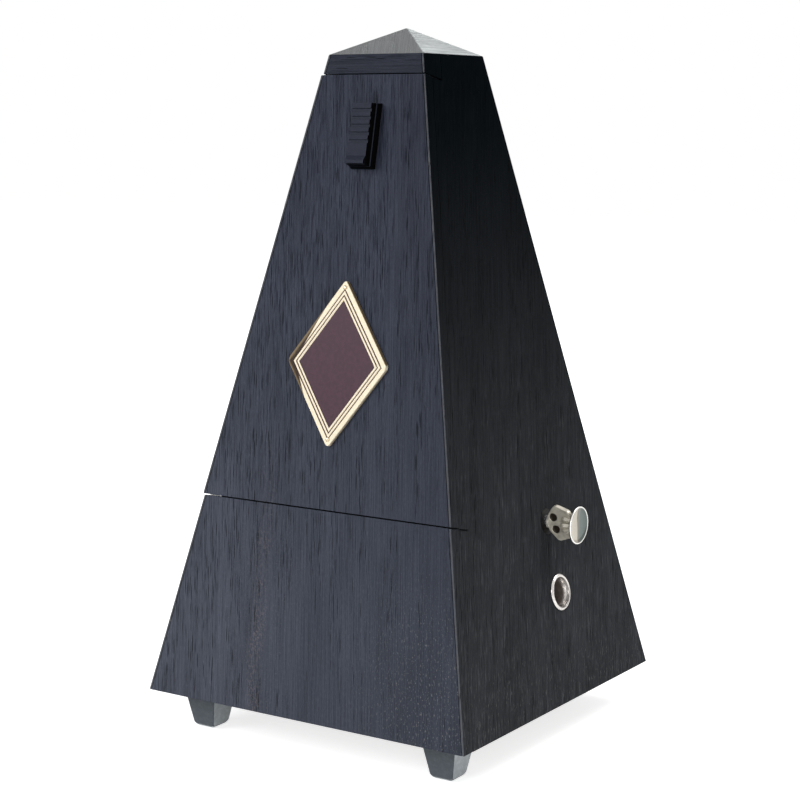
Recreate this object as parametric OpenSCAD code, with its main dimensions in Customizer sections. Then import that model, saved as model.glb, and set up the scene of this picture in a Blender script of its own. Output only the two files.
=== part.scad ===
// Clockwork metronome in a four-sided tapering wooden body, with its pendulum,
// winding movement and bell. Millimetres. The origin is on the floor under the
// middle of the body; +Z is up, the lift-off cover faces -Y and the key is on +X.

/* [Body] */
// Width of the wooden body at its foot
base_w = 117.8; // [110:0.2:126]
// Width of the wooden body at the foot of its pointed top
top_w = 35; // [30:0.1:40]
// Height of the sloping sides
body_h = 200; // [192:1:214]
// Height of the pointed top
cap_h = 8.4; // [4:0.1:14]
// Thickness of the side and back panels
wall = 6; // [4:0.1:7.5]
// Thickness of the base board
base_t = 6; // [4:0.1:7]
// Thickness of the lower front panel
front_t = 5; // [3:0.1:5.3]
// Height of the lower front panel
panel_h = 62.7; // [58:0.1:66]
// Chamfer along the four sloping arrises
arris = 0.3; // [0.2:0.1:1.6]
// Side of the glued blocks in the lower corners
block_w = 9; // [6:0.5:12]
// Height of the glued blocks
block_h = 15; // [8:0.5:20]

/* [Cover] */
// Height of the head rail above the cover
head_h = 6.2; // [4:0.1:14]
// Thickness of the cover's board
cover_t = 3.6; // [3:0.1:4.2]
// Depth of the cover with its cheeks
cover_depth = 9; // [8:0.1:10.5]
// Thickness of the cover's cheeks
cheek_t = 3.6; // [2.5:0.1:4]
// How far the cover stands proud of the body
cover_proud = 0.4; // [0:0.1:0.8]
// Width of the seams above and below the cover
seam = 0.6; // [0.5:0.1:1.6]
// Clearance behind the cover's cheeks
cover_gap = 0.3; // [0.2:0.1:0.6]
// Height of the rail across the cover's top
rail_h = 4; // [2:0.5:5]
// Distance of the cover's two tongues from the middle
tongue_x = 30; // [22:1:34]
// Width of a tongue
tongue_w = 8; // [5:0.5:12]
// Thickness of a tongue
tongue_t = 0.8; // [0.5:0.1:1.2]
// Reach of the tongues below the cover
tongue_reach = 7; // [4:0.5:9]

/* [Badge] */
// Width of the lozenge badge
badge_w = 37; // [28:0.2:40]
// Length of the lozenge badge
badge_l = 51.8; // [40:0.2:60]
// Height of the badge's middle above the lower front panel
badge_up = 43.9; // [36:0.1:51]
// Thickness of the badge
badge_t = 1.2; // [0.8:0.1:2]
// Width of the badge's raised rim
badge_rim = 1.3; // [0.8:0.1:2]
// Diameter of the badge's nail heads
nail_d = 2.2; // [1.6:0.1:2.8]

/* [Latch] */
// Distance of the latch's middle below the top of the cover
latch_drop = 18.8; // [17:0.1:21]
// Width of the latch housing
latch_w = 9; // [8:0.1:11]
// Length of the latch housing
latch_l = 20.4; // [19:0.1:22]
// Height of the latch housing above the cover
latch_h = 2.3; // [1.6:0.1:3]
// Width of the sliding button
button_w = 7.4; // [6:0.1:7.8]
// Thickness of the sliding button
button_t = 2.2; // [1.6:0.1:3]
// Travel of the sliding button
latch_travel = 2.5; // [1.5:0.1:3]
// Diameter of the catch stud
stud_d = 2.4; // [1.6:0.1:3]

/* [Feet] */
// Height of the feet
foot_h = 12.8; // [8:0.1:16]
// Width of a foot where it meets the body
foot_top = 12.4; // [10:0.1:15]
// Width of a foot at the floor
foot_bottom = 7.6; // [5:0.1:10]
// Distance of a foot's middle from the edge of the body
foot_inset = 14; // [10:0.1:16]
// Diameter of the screws in the feet
foot_screw_d = 2.6; // [2:0.1:3.2]

/* [Key] */
// Distance of the key behind the middle of the body
key_y = 9.2; // [6:0.1:12]
// Distance of the key below the top of the lower front panel
key_drop = 7.3; // [5:0.1:10]
// Distance that the key stands out from the panel
key_reach = 11.3; // [10:0.1:11.4]
// Diameter of the key's end button
knob_d = 12; // [9:0.1:14]
// Thickness of the key's end button
knob_t = 1; // [0.8:0.1:1.4]
// Half width of the key's blade
blade_r = 5.7; // [4.5:0.1:6.5]
// Thickness of the key's blade
blade_t = 1.4; // [1:0.1:2]
// Diameter of the key's hub
hub_d = 6.5; // [5:0.1:7.5]
// Diameter of the finger holes in the blade
finger_d = 2.6; // [1.8:0.1:3]
// Diameter of the winding arbor
wind_d = 4; // [3.4:0.1:4.6]
// Outer diameter of the bush in the side panel
bush_d = 8; // [7:0.1:9]

/* [Bell] */
// Distance of the bell pull below the top of the lower front panel
pull_drop = 29.6; // [29:0.1:31]
// Diameter of the bell pull rod
pull_d = 3; // [2.4:0.1:3.4]
// Diameter of the bell pull's end
pull_knob_d = 4.4; // [3.8:0.1:4.8]
// How deep the bell pull's end lies in its eyelet
pull_depth = 3; // [2:0.1:3.6]
// Diameter of the eyelet's rolled rim
eyelet_d = 11.6; // [10.4:0.1:13]
// Diameter of the eyelet's tube
eyelet_tube = 9; // [8.6:0.1:9.6]
// Wall of the eyelet's tube
eyelet_wall = 0.5; // [0.3:0.1:0.7]
// Length of the eyelet's tube
eyelet_l = 5; // [4:0.1:5.6]
// Step between two settings of the bell
bell_step = 3; // [2.6:0.1:3.2]
// Outer radius of the bell
bell_r = 12; // [9:0.5:13]
// Thickness of the bell's metal
bell_wall = 1.1; // [0.8:0.1:1.6]

/* [Movement] */
// Distance between the movement plates
plate_gap = 48.8; // [47:0.2:52]
// Thickness of the movement plates
plate_t = 1.6; // [1.2:0.1:2]
// Height of the movement plates above the lower front panel
plate_rise = 7.7; // [6.5:0.1:11]
// Module of the wheel teeth
tooth = 0.6; // [0.58:0.01:0.61]
// Diameter of the wheels' arbors
arbor_d = 2.4; // [1.8:0.1:2.6]
// Radial clearance of the bearings
bearing_gap = 0.05; // [0.03:0.01:0.1]
// Radius of the mainspring barrel
barrel_r = 14; // [12:0.1:14.8]
// Width of the mainspring barrel
barrel_w = 13; // [11:0.5:13]
// Wall of the barrel
barrel_wall = 1; // [0.7:0.1:1.5]
// Radius of the crown wheel
crown_r = 9.5; // [8:0.1:10]
// Depth of the crown wheel's band
crown_w = 5.6; // [4.5:0.1:6.5]
// Radius of the ratchet wheel
ratchet_r = 8; // [7:0.1:9]
// Diameter of the pillars between the plates
pillar_d = 4; // [3:0.2:5]

/* [Pendulum] */
// Distance of the pendulum's pivot below the top of the lower front panel
pivot_drop = 4.3; // [3.8:0.1:5.3]
// Width of the pendulum rod
rod_w = 2.4; // [1.8:0.1:3]
// Thickness of the pendulum rod
rod_t = 1; // [0.7:0.1:1.3]
// Distance of the rod's tip below the top of the cover
rod_short = 12; // [11:0.5:20]
// Radius of the counterweight
bob_r = 15; // [13:0.1:15.6]
// Thickness of the counterweight
bob_t = 9; // [8:0.1:9.4]
// Gap between the counterweight and the base board
bob_gap = 2; // [1:0.1:4]
// Height of the sliding weight
weight_h = 16; // [12:0.5:20]
// Width of the sliding weight at its top
weight_top = 18; // [13:0.5:19]
// Width of the sliding weight at its bottom
weight_bottom = 13; // [9:0.5:15]
// Thickness of the sliding weight
weight_t = 4; // [3.2:0.1:4.2]
// Distance of the sliding weight above the pivot
weight_at = 45; // [25:1:85]
// Thickness of the scale board
scale_t = 4; // [3:0.1:4.1]
// Width of the metal scale
scale_w = 26; // [20:0.5:32]
// Thickness of the metal scale
scale_plate_t = 0.5; // [0.3:0.1:0.6]

/* [Hidden] */
$fn = 64;

// Sloping body
slope = (base_w - top_w) / 2 / body_h;
lean = atan(slope);
far = 2 * base_w;
function half(z) = base_w / 2 - slope * z;
function along(z) = z / cos(lean);

// Heights that follow the body and the lower front panel
cover_top = body_h - head_h;
badge_z = panel_h + badge_up;
latch_z = cover_top - latch_drop;
key_z = panel_h - key_drop;
pull_z = panel_h - pull_drop;
plate_top = panel_h + plate_rise;
pivot_z = panel_h - pivot_drop;
foot_pitch = base_w - 2 * foot_inset;
wall_x = wall / cos(lean);
front_x = front_t / cos(lean);

// Front layers, as depths behind the sloping front
cover_bottom = along(panel_h) + seam / 2;
panel_end = along(panel_h) - seam / 2;
weight_front = cover_t + 1;
rod_depth = weight_front + weight_t / 2;
scale_front = max(cover_depth + 0.8, weight_front + weight_t + 1.1);
board_front = scale_front + scale_plate_t;
edge_depth = cover_depth + cover_gap;
bob_front = front_t + 0.6;
bar_front = max(board_front + scale_t, bob_front + bob_t - 0.1) + 0.2;
bar_t = 2;
tongue_depth = front_t + 0.3;
tongue_root = 9;

// Pendulum axis: it runs inwards, square to the sloping front
pivot_s = along(pivot_z);
rod_up = along(cover_top) - seam / 2 - rod_short - pivot_s;
bob_floor = along(base_t + bob_gap + (bob_front + bob_t) * sin(lean));
bob_drop = pivot_s - bob_floor - bob_r;
verge_back = 38.5;
crown_at = 27;
function verge_y(d) = -half(pivot_z) + d * cos(lean);
function verge_z(d) = pivot_z - d * sin(lean);

// Wheels: teeth, pitch radii and arbor places in the plane of the movement plates
great_n = 60;
second_n = 40;
pinion_n = 10;
leaf_n = 8;
crown_n = 15;
ratchet_n = 16;
function pitch_r(n) = n * tooth / 2;
crown_y = verge_y(crown_at);
crown_z = verge_z(crown_at);
mesh_a = pitch_r(great_n) + pitch_r(pinion_n);
mesh_b = pitch_r(second_n) + pitch_r(leaf_n);
span_y = crown_y - key_y;
span_z = crown_z - key_z;
span = sqrt(span_y * span_y + span_z * span_z);
reach = (mesh_a * mesh_a - mesh_b * mesh_b + span * span) / 2 / span;
rise = sqrt(mesh_a * mesh_a - reach * reach);
second_y = key_y + (reach * span_y + rise * span_z) / span;
second_z = key_z + (reach * span_z - rise * span_y) / span;

// Places across the movement
plate_x = plate_gap / 2;
barrel_x = 6.5;
wheel_t = 2;
second_x = -19;
pinion_l = 5;
tips_x = -3.2;
web_t = 1;
cock_x = tips_x - crown_w - 6;
cam_t = 1.5;
cam_x = [for (i = [0:3]) -5.75 + i * bell_step];
pull_y = key_y + 0.5;
face_key = half(key_z);
face_pull = half(pull_z);
click_y = 12;
click_z = 12;
// Fittings on the front layers, as distances along the slope
cover_end = along(cover_top) - seam / 2;
rail_start = along(cover_top) + seam / 2;
cheek_x = cheek_t / cos(lean) - cover_proud;
cheek_drop = seam / 2;
badge_s = along(badge_z);
badge_side = sqrt(badge_w * badge_w + badge_l * badge_l) / badge_w;
nail_at = (badge_w / 2 - badge_rim) * badge_l / badge_w - (nail_d / 2 + 0.1) * badge_side;
latch_s = along(latch_z);
button_l = latch_l - 1.1;
stem_w = 3;
stem_l = 6;
stud_s = cover_end - rail_h - stud_d / 2 - 0.7;
scale_low = cover_bottom + 8;
scale_high = pivot_s + rod_up - 9;
clip_s = pivot_s + rod_up - 4.5;
pin_d = 1.2;
pin_inset = 2.5;
pin_head = 0.4;
press_gap = 0.01;
rod_fit = 0.08;

// Movement frame
plate_front = bar_front + bar_t;
plate_low = base_t + 2;
back_y = 32;
function front_y(z, d) = -half(z + d * sin(lean)) + d * cos(lean);
pillar_at = [[front_y(14, plate_front) + 5, 14], [back_y - 4, 14], [back_y - 4, plate_top - 4]];
bracket_y = [-22, 16];
bracket_w = 8;
bracket_h = 12;
bracket_reach = 13;
bracket_t = 1.5;
bracket_hole = 8.5;
bracket_screw_d = 2;
screw_head = 1.2;
bar_h = 10;
cock_drop = 13;
cock_low = 6.5;
cock_t = 2;
click_screw_d = 2;

// Meshing: each pinion is turned so that its gap faces the wheel's tooth
great_way = atan2(second_z - key_z, second_y - key_y);
second_turn = great_way * (1 + great_n / pinion_n) + 180 - 180 / pinion_n;
second_way = atan2(crown_z - second_z, crown_y - second_y);
crown_turn = second_way * (1 + second_n / leaf_n) + 180 - 180 / leaf_n;
crown_gullet = 2 * PI * (crown_r - 0.55) / crown_n - 0.6;

// Bell and hammer
cam_r = 8.4;
hammer_d = 4;
hammer_drop = 15;
bell_x = 4;
bell_lift = 6;
hammer_z = pull_z - hammer_drop - 1;
bell_y = pull_y - hammer_d / 2 - 0.6 - sqrt(bell_r * bell_r - pow(hammer_z - base_t - bell_lift, 2));

// Frames: one on the sloping front, one on the sloping right face, one on the floor of the body
module body_frame() translate([0, 0, foot_h]) children();
module on_front(depth = 0, s = 0) body_frame() translate([0, -base_w / 2, 0])
  rotate([-lean, 0, 0]) translate([0, depth, s]) children();
module on_right(y, z) body_frame() translate([half(z), y, z]) rotate([0, -lean, 0]) children();
module on_arbor(y, z, x = 0) body_frame() translate([x, y, z]) rotate([90, 0, 90]) children();

// A prism along Y whose sides follow the slope of the body, grown outwards by grow
module wedge(grow, z0, z1) rotate([90, 0, 0]) linear_extrude(far, center = true)
  polygon([[-half(z0) - grow, z0], [half(z0) + grow, z0], [half(z1) + grow, z1], [-half(z1) - grow, z1]]);

// The same prism, set across the corners to cut the arrises
module corner_wedge(grow, z0, z1) {
  r0 = (2 * half(z0) + 2 * grow - arris) / sqrt(2);
  r1 = (2 * half(z1) + 2 * grow - arris) / sqrt(2);
  rotate([90, 0, 45]) linear_extrude(far, center = true)
    polygon([[-r0, z0], [r0, z0], [r1, z1], [-r1, z1]]);
}

// The outside of the body between two heights
module outline(grow = 0, z0 = 0, z1 = body_h) body_frame() intersection() {
  wedge(grow, z0, z1);
  rotate([0, 0, 90]) wedge(grow, z0, z1);
  corner_wedge(grow, z0, z1);
  rotate([0, 0, 90]) corner_wedge(grow, z0, z1);
}

// A layer parallel to the sloping front, from one depth to another
module layer(d0, d1, s0, s1) on_front(d0, s0) translate([-base_w, 0, 0]) cube([far, d1 - d0, s1 - s0]);

// The space between the side panels, and the same between front and back
module between_sides(inset, z0, z1) body_frame() wedge(-inset, z0, z1);
module between_faces(inset, z0, z1) body_frame() rotate([0, 0, 90]) wedge(-inset, z0, z1);

// ---- Wooden body ----
module base_board() color("dimgray") difference() {
  intersection() {
    between_sides(wall_x, 0, base_t);
    body_frame() rotate([90, 0, 90]) linear_extrude(far, center = true)
      polygon([[front_x - half(0), 0], [half(0) - wall_x, 0], [half(base_t) - wall_x, base_t],
        [front_x - half(base_t), base_t]]);
  }
  at_feet() cylinder(h = foot_h + base_t - 2, d = foot_screw_d);
  at_brackets() translate([bracket_hole, bracket_w / 2, bracket_t - base_t])
    cylinder(h = far, d = bracket_screw_d);
}

module back_panel() color("#26282c") intersection() {
  difference() {
    outline();
    between_faces(wall_x, -1, body_h + 1);
  }
  between_sides(wall_x, 0, body_h);
  translate([-far / 2, 0, 0]) cube([far, base_w, far * 2]);
}

// Side panel: its front edge steps back above the seam to make room for the cover
module side_panel(side) intersection() {
  difference() {
    outline();
    between_sides(wall_x, -1, body_h + 1);
    layer(-base_w, front_t, -base_w, far * 2);
    layer(-base_w, edge_depth, panel_end, far * 2);
  }
  translate([side > 0 ? 0 : -far, -base_w, 0]) cube([far, far, far * 2]);
}
module left_panel() color("#222428") side_panel(-1);
module right_panel() color("#222428") difference() {
  side_panel(1);
  on_right(pull_y, pull_z) rotate([0, 90, 0]) cylinder(h = 4 * wall, d = eyelet_tube + 0.1, center = true);
  on_arbor(key_y, key_z, face_key - 2 * wall) cylinder(h = 4 * wall, d = bush_d);
}

module front_panel() color("#3b4150") intersection() {
  outline();
  layer(0, front_t, -base_w, panel_end);
}

module head_rail() color("#3b4150") intersection() {
  outline();
  layer(0, edge_depth, rail_start, far * 2);
}

// Pointed top, with a plug that fits between the panels
module roof() rotate([90, 0, 0]) linear_extrude(far, center = true)
  polygon([[-top_w / 2, body_h], [top_w / 2, body_h], [0.3, body_h + cap_h], [-0.3, body_h + cap_h]]);

module top_cap() color("#5a5c62") {
  body_frame() intersection() {
    roof();
    rotate([0, 0, 90]) roof();
  }
  intersection() {
    between_sides(wall_x, body_h - wall / 2, body_h);
    between_faces(wall_x, body_h - wall / 2, body_h);
    layer(edge_depth, far, 0, far * 2);
  }
}

module corner_blocks() color("tan") intersection() {
  between_sides(wall_x, base_t, base_t + block_h);
  between_faces(wall_x, base_t, base_t + block_h);
  union() for (sx = [-1, 1], sy = [-1, 1]) body_frame()
    translate([sx * (half(base_t) - wall_x - block_w), sy * (half(base_t) - wall_x - block_w), base_t])
      mirror([sx < 0 ? 1 : 0, 0, 0]) mirror([0, sy < 0 ? 1 : 0, 0]) cube([far, far, block_h]);
}

// ---- Feet: two at the front corners and one in the middle of the back ----
module at_feet() for (p = [[-1, -1], [1, -1], [0, 1]])
  translate([p[0] * foot_pitch / 2, p[1] * foot_pitch / 2, 0]) children();

module foot_taper() rotate([90, 0, 0]) linear_extrude(2 * foot_top, center = true)
  polygon([[-foot_bottom / 2 + 0.8, 0], [foot_bottom / 2 - 0.8, 0], [foot_bottom / 2 + 0.2, 1],
    [foot_top / 2, foot_h], [-foot_top / 2, foot_h], [-foot_bottom / 2 - 0.2, 1]]);

module foot() color("#1b1c1e") at_feet() difference() {
  intersection() {
    foot_taper();
    rotate([0, 0, 90]) foot_taper();
  }
  translate([0, 0, -1]) cylinder(h = 3, d = 2 * foot_screw_d);
  cylinder(h = foot_h + 1, d = foot_screw_d);
}

module foot_screw() color("silver") at_feet() {
  translate([0, 0, 1]) cylinder(h = 1, d = 1.9 * foot_screw_d);
  translate([0, 0, 1]) cylinder(h = foot_h - 1, d = foot_screw_d);
}

// ---- Fittings of the body ----
// Rolled eyelet: a rim on the face, a funnel and a short tube
module side_eyelet() color("silver") on_right(pull_y, pull_z) rotate([0, 90, 0]) {
  tube = eyelet_tube / 2;
  rim = eyelet_d / 2;
  rotate_extrude() polygon([[tube, -eyelet_l], [tube, 0], [rim, 0], [rim, 0.3], [rim - 0.5, 0.7],
    [rim - 1, 0.6], [tube - eyelet_wall, -1.6], [tube - eyelet_wall, -eyelet_l]]);
}

module key_bush() color("goldenrod") intersection() {
  difference() {
    on_arbor(key_y, key_z, face_key - 2 * wall) cylinder(h = 4 * wall, d = bush_d);
    on_arbor(key_y, key_z, face_key - 3 * wall) cylinder(h = 6 * wall, d = wind_d + 2 * bearing_gap);
  }
  outline();
  translate([0, -base_w, 0]) difference() {
    cube([far, far, far]);
    translate([0, base_w, 0]) between_sides(wall_x, -1, body_h);
  }
}

// Screws and pins that cross the sloping layers
module at_scale_pins(d0) for (side = [-1, 1], s = [scale_low, scale_high])
  on_front(d0, s + (s == scale_low ? pin_inset : -pin_inset))
    translate([side * (scale_w / 2 - pin_inset), 0, 0]) rotate([-90, 0, 0]) children();

module stud_hole(d) on_front(board_front - 0.1, stud_s) rotate([-90, 0, 0]) cylinder(h = scale_t + 1, d = d);

module scale_board() color("#c9c2ae") difference() {
  intersection() {
    between_sides(wall_x, 0, body_h);
    layer(board_front, board_front + scale_t, cover_bottom, along(body_h - wall / 2));
  }
  at_scale_pins(board_front - 1) cylinder(h = 1 + scale_t, d = pin_d);
  stud_hole(stud_d);
}

module scale_plate() color("gainsboro") difference() {
  on_front(scale_front, scale_low) translate([-scale_w / 2, 0, 0])
    cube([scale_w, scale_plate_t, scale_high - scale_low]);
  at_scale_pins(scale_front - 1) cylinder(h = 2 + scale_plate_t, d = pin_d);
}

module scale_pin() color("goldenrod") {
  at_scale_pins(scale_front - pin_head) cylinder(h = pin_head, d = 2 * pin_d);
  at_scale_pins(scale_front - pin_head) cylinder(h = pin_head + scale_plate_t + scale_t / 2, d = pin_d);
}

// Spring clip that holds the rod when the metronome is put away
module rod_clip() color("silver") on_front(0, clip_s) {
  prong = 0.6;
  translate([-4.5, board_front - 0.6, -2.8]) cube([9, 0.6, 5.6]);
  for (side = [-1, 1]) translate([side * (rod_w / 2 + prong) - prong / 2, rod_depth + rod_t / 2 + 0.3, -2])
    cube([prong, board_front - 0.6 - rod_depth - rod_t / 2 - 0.3, 4]);
}

module catch_stud() color("silver") on_front(cover_t + 0.6, stud_s) rotate([-90, 0, 0]) {
  cylinder(h = board_front - cover_t - 0.6 + scale_t, d = stud_d);
  translate([0, 0, board_front - cover_t - 1.6]) cylinder(h = 1, d = 2 * stud_d);
}

// ---- Movement frame ----
module plate_outline() polygon([[front_y(plate_low, plate_front), plate_low], [back_y, plate_low],
  [back_y, plate_top - 2], [back_y - 2, plate_top], [front_y(plate_top, plate_front), plate_top]]);

module bore(y, z, d) translate([y, z]) circle(d = d + 2 * bearing_gap);

module movement_plate(x, with_crown) on_arbor(0, 0, x) linear_extrude(plate_t) difference() {
  plate_outline();
  bore(key_y, key_z, wind_d);
  bore(second_y, second_z, arbor_d);
  bore(pull_y, pull_z, pull_d);
  if (with_crown) bore(crown_y, crown_z, arbor_d);
  for (p = pillar_at) translate(p) circle(d = pillar_d / 2);
}
module left_plate() color("#c8a24a") movement_plate(-plate_x - plate_t, true);
module right_plate() color("#c8a24a") difference() {
  movement_plate(plate_x, false);
  on_arbor(key_y + click_y, key_z + click_z, 0) cylinder(h = far, d = click_screw_d);
}

module pillar() color("#c8a24a") for (p = pillar_at) on_arbor(p[0], p[1], -plate_x) difference() {
  cylinder(h = plate_gap, d = pillar_d);
  translate([0, 0, -1]) cylinder(h = 6, d = pillar_d / 2);
  translate([0, 0, plate_gap - 5]) cylinder(h = 6, d = pillar_d / 2);
}

module pillar_screw() color("silver") for (p = pillar_at, end = [0, 1])
  mirror([end, 0, 0]) on_arbor(p[0], p[1], plate_x - 4) {
    cylinder(h = 4 + plate_t, d = pillar_d / 2);
    translate([0, 0, 4 + plate_t]) cylinder(h = screw_head, d = pillar_d);
  }

module at_brackets() for (side = [0, 1], y = bracket_y) mirror([side, 0, 0]) body_frame()
  translate([plate_x + plate_t, y, base_t]) children();

module plate_bracket() color("gray") at_brackets() difference() {
  union() {
    cube([bracket_t, bracket_w, bracket_h]);
    cube([bracket_reach, bracket_w, bracket_t]);
  }
  translate([bracket_hole, bracket_w / 2, -1]) cylinder(h = 2 + bracket_t, d = bracket_screw_d);
}

module bracket_screw() color("silver") at_brackets() translate([bracket_hole, bracket_w / 2, bracket_t]) {
  cylinder(h = screw_head, d = 2 * bracket_screw_d);
  translate([0, 0, -base_t]) cylinder(h = base_t, d = bracket_screw_d);
}

// Bar across the front of the plates, and a cock from the left plate: the verge's two bearings
module verge_bar() color("#c8a24a") on_front(bar_front, pivot_s) difference() {
  translate([-plate_x - plate_t, 0, -bar_h / 2]) cube([plate_gap + 2 * plate_t, bar_t, bar_h]);
  rotate([-90, 0, 0]) translate([0, 0, -1]) cylinder(h = bar_t + 2, d = arbor_d + 2 * bearing_gap);
}

module verge_cock() color("#c8a24a") on_front(verge_back - cock_t / 2, pivot_s) difference() {
  union() {
    translate([-plate_x, 0, -cock_low]) cube([plate_x, cock_t, 5]);
    translate([-plate_x, -3, -cock_low - 1]) cube([2, 8, 7]);
    rotate([-90, 0, 0]) cylinder(h = cock_t, r = cock_low);
  }
  rotate([-90, 0, 0]) translate([0, 0, -1]) cylinder(h = 4, d = arbor_d + 2 * bearing_gap);
}

// Cock on a short post, for the crown arbor's inner bearing
module crown_cock() color("#c8a24a") {
  on_arbor(crown_y, crown_z, cock_x) linear_extrude(plate_t) difference() {
    union() {
      circle(d = 3 * arbor_d);
      translate([0, -cock_drop]) circle(d = 3 * arbor_d);
      translate([-1.5 * arbor_d, -cock_drop]) square([3 * arbor_d, cock_drop]);
    }
    circle(d = arbor_d + 2 * bearing_gap);
  }
  on_arbor(crown_y, crown_z - cock_drop, -plate_x) cylinder(h = cock_x + plate_x, d = 2 * arbor_d);
}

module click_screw() color("silver") on_arbor(key_y + click_y, key_z + click_z, plate_x) {
  cylinder(h = plate_t + 0.5 + wheel_t + 0.3, d = click_screw_d);
  translate([0, 0, plate_t + 0.5 + wheel_t + 0.3]) cylinder(h = 1, d = 2 * click_screw_d);
}

// Leaf spring on a block, bearing on the click's tail
module click_spring() color("silver") on_arbor(key_y + click_y, key_z + click_z, plate_x + plate_t)
  linear_extrude(1.4) polygon([[3.3, -9], [6.3, -9], [6.3, -6.5], [4.1, -6.5], [4.1, -0.5], [3.5, -0.5],
    [3.5, -6.5], [3.3, -6.5]]);

module bell_post() color("silver") body_frame() translate([bell_x, bell_y, base_t]) {
  cylinder(h = bell_lift + sqrt(pow(bell_r - bell_wall, 2) - 4), r = 2);
  cylinder(h = bell_lift + bell_r + 0.6, d = 2.4);
  translate([0, 0, bell_lift + bell_r]) cylinder(h = 1.2, d = 4.4);
}

module bell() color("#d8c27a") body_frame() translate([bell_x, bell_y, base_t + bell_lift])
  rotate_extrude() difference() {
    intersection() {
      circle(r = bell_r);
      translate([1.25, 0]) square(bell_r);
    }
    circle(r = bell_r - bell_wall);
  }

// ---- Cover ----
module cover_layer(d0, d1, s0, s1) intersection() {
  outline(cover_proud);
  layer(d0, d1, s0, s1);
}

module stem_slot() on_front(-far / 4, latch_s - stem_l / 2 - latch_travel - 0.2)
  translate([-stem_w / 2 - 0.2, 0, 0]) cube([stem_w + 0.4, far / 2, stem_l + latch_travel + 0.4]);

module cover_board() color("#3b4150") difference() {
  cover_layer(-cover_proud, cover_t, cover_bottom, cover_end);
  stem_slot();
  at_nails() translate([0, 0, -3]) cylinder(h = 6, d = nail_d / 2);
}

module cover_cheek(side) intersection() {
  difference() {
    cover_layer(cover_t, cover_depth, cover_bottom - cheek_drop, cover_end);
    between_sides(cheek_x, -1, body_h + 1);
  }
  translate([side > 0 ? 0 : -far, -base_w, 0]) cube([far, far, far * 2]);
}
module cover_left_cheek() color("#2b2e35") cover_cheek(-1);
module cover_right_cheek() color("#2b2e35") cover_cheek(1);

module cover_rail() color("tan") intersection() {
  between_sides(cheek_x, 0, body_h);
  layer(cover_t, cover_depth, cover_end - rail_h, cover_end);
}

// Cranked brass tongues that hook behind the lower front panel
module cover_tongue() color("goldenrod") for (side = [-1, 1])
  on_front(0, cover_bottom) translate([side * tongue_x - tongue_w / 2, 0, 0])
    rotate([90, 0, 90]) linear_extrude(tongue_w) polygon([[cover_t, 1], [tongue_depth, 1],
      [tongue_depth, -tongue_reach], [tongue_depth + tongue_t, -tongue_reach],
      [tongue_depth + tongue_t, 1 + tongue_t], [cover_t + tongue_t, 1 + tongue_t],
      [cover_t + tongue_t, tongue_root], [cover_t, tongue_root]]);

module lozenge(cut) polygon([[badge_w / 2 - cut, 0], [0, (badge_w / 2 - cut) * badge_l / badge_w],
  [cut - badge_w / 2, 0], [0, (cut - badge_w / 2) * badge_l / badge_w]]);

module on_badge() on_front(-cover_proud, badge_s) rotate([90, 0, 0]) children();
module at_nails() for (end = [-1, 1]) on_badge() translate([0, end * nail_at, 0]) children();

module badge() color("#7a6a58") difference() {
  on_badge() linear_extrude(badge_t) lozenge(0);
  on_badge() translate([0, 0, badge_t - 0.4]) linear_extrude(1) lozenge(badge_rim);
  at_nails() translate([0, 0, -1]) cylinder(h = 4, d = nail_d / 2);
}

module badge_nail() color("#d9d2b8") at_nails() {
  translate([0, 0, badge_t - 0.4]) rotate_extrude() polygon([[0, 0], [nail_d / 2, 0], [nail_d / 2, 0.3],
    [nail_d / 4, 0.8], [0, 0.8]]);
  translate([0, 0, -3]) cylinder(h = 3 + badge_t, d = nail_d / 2);
}

// A block with four drawn-in sides: half widths a and b at its foot and c less at its top
module drawn_block(a, b, h, c) intersection() {
  rotate([90, 0, 0]) linear_extrude(4 * b, center = true)
    polygon([[-a, 0], [a, 0], [a - c, h], [c - a, h]]);
  rotate([90, 0, 90]) linear_extrude(4 * a, center = true)
    polygon([[-b, 0], [b, 0], [b - c, h], [c - b, h]]);
}

module on_latch() on_front(-cover_proud, latch_s) rotate([90, 0, 0]) children();

module latch_housing() color("#202226") difference() {
  on_latch() drawn_block(latch_w / 2, latch_l / 2, latch_h, 0.6);
  stem_slot();
}

// Thumb button: a grooved slide with a lip at its lower end, on a stem through the cover
module latch_button() color("#2a2d33") on_latch() {
  translate([0, 0, latch_h + 0.05]) difference() {
    drawn_block(button_w / 2, button_l / 2, button_t, 0.25);
    for (i = [0:4]) translate([-button_w, (i - 1) * 2.4 - 0.5, button_t - 0.4]) cube([2 * button_w, 1, 1]);
  }
  translate([0, 0.4 - button_l / 2, latch_h + 0.05]) rotate([90, 0, 90])
    linear_extrude(button_w - 0.6, center = true)
    polygon([[0, button_t / 2], [0, button_t + 0.9], [1, button_t + 0.9], [2.6, button_t - 0.1],
      [2.6, button_t / 2]]);
  translate([-stem_w / 2, -stem_l / 2, -cover_proud - cover_t - 0.15])
    cube([stem_w, stem_l, latch_h + cover_proud + cover_t + 0.3]);
}

module catch_plate() color("silver") on_front(cover_t + 0.15, latch_s - stem_l / 2) difference() {
  translate([-3.5, 0, 0]) cube([7, 0.8, stud_s + stud_d / 2 + 0.3 - latch_s + stem_l / 2]);
  translate([-stud_d / 2 - 0.3, -1, stud_s - stud_d / 2 - 0.3 - latch_s + stem_l / 2])
    cube([stud_d + 0.6, 3, 3 * stud_d]);
}

// ---- Winding ----
module winding_arbor() color("silver") {
  on_arbor(key_y, key_z, -plate_x - plate_t - 1)
    cylinder(h = plate_x + plate_t + 1 + face_key + 0.5, d = wind_d);
  on_arbor(key_y, key_z, barrel_x + 2) cylinder(h = barrel_w - 3, d = 1.5 * wind_d);
}

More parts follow.
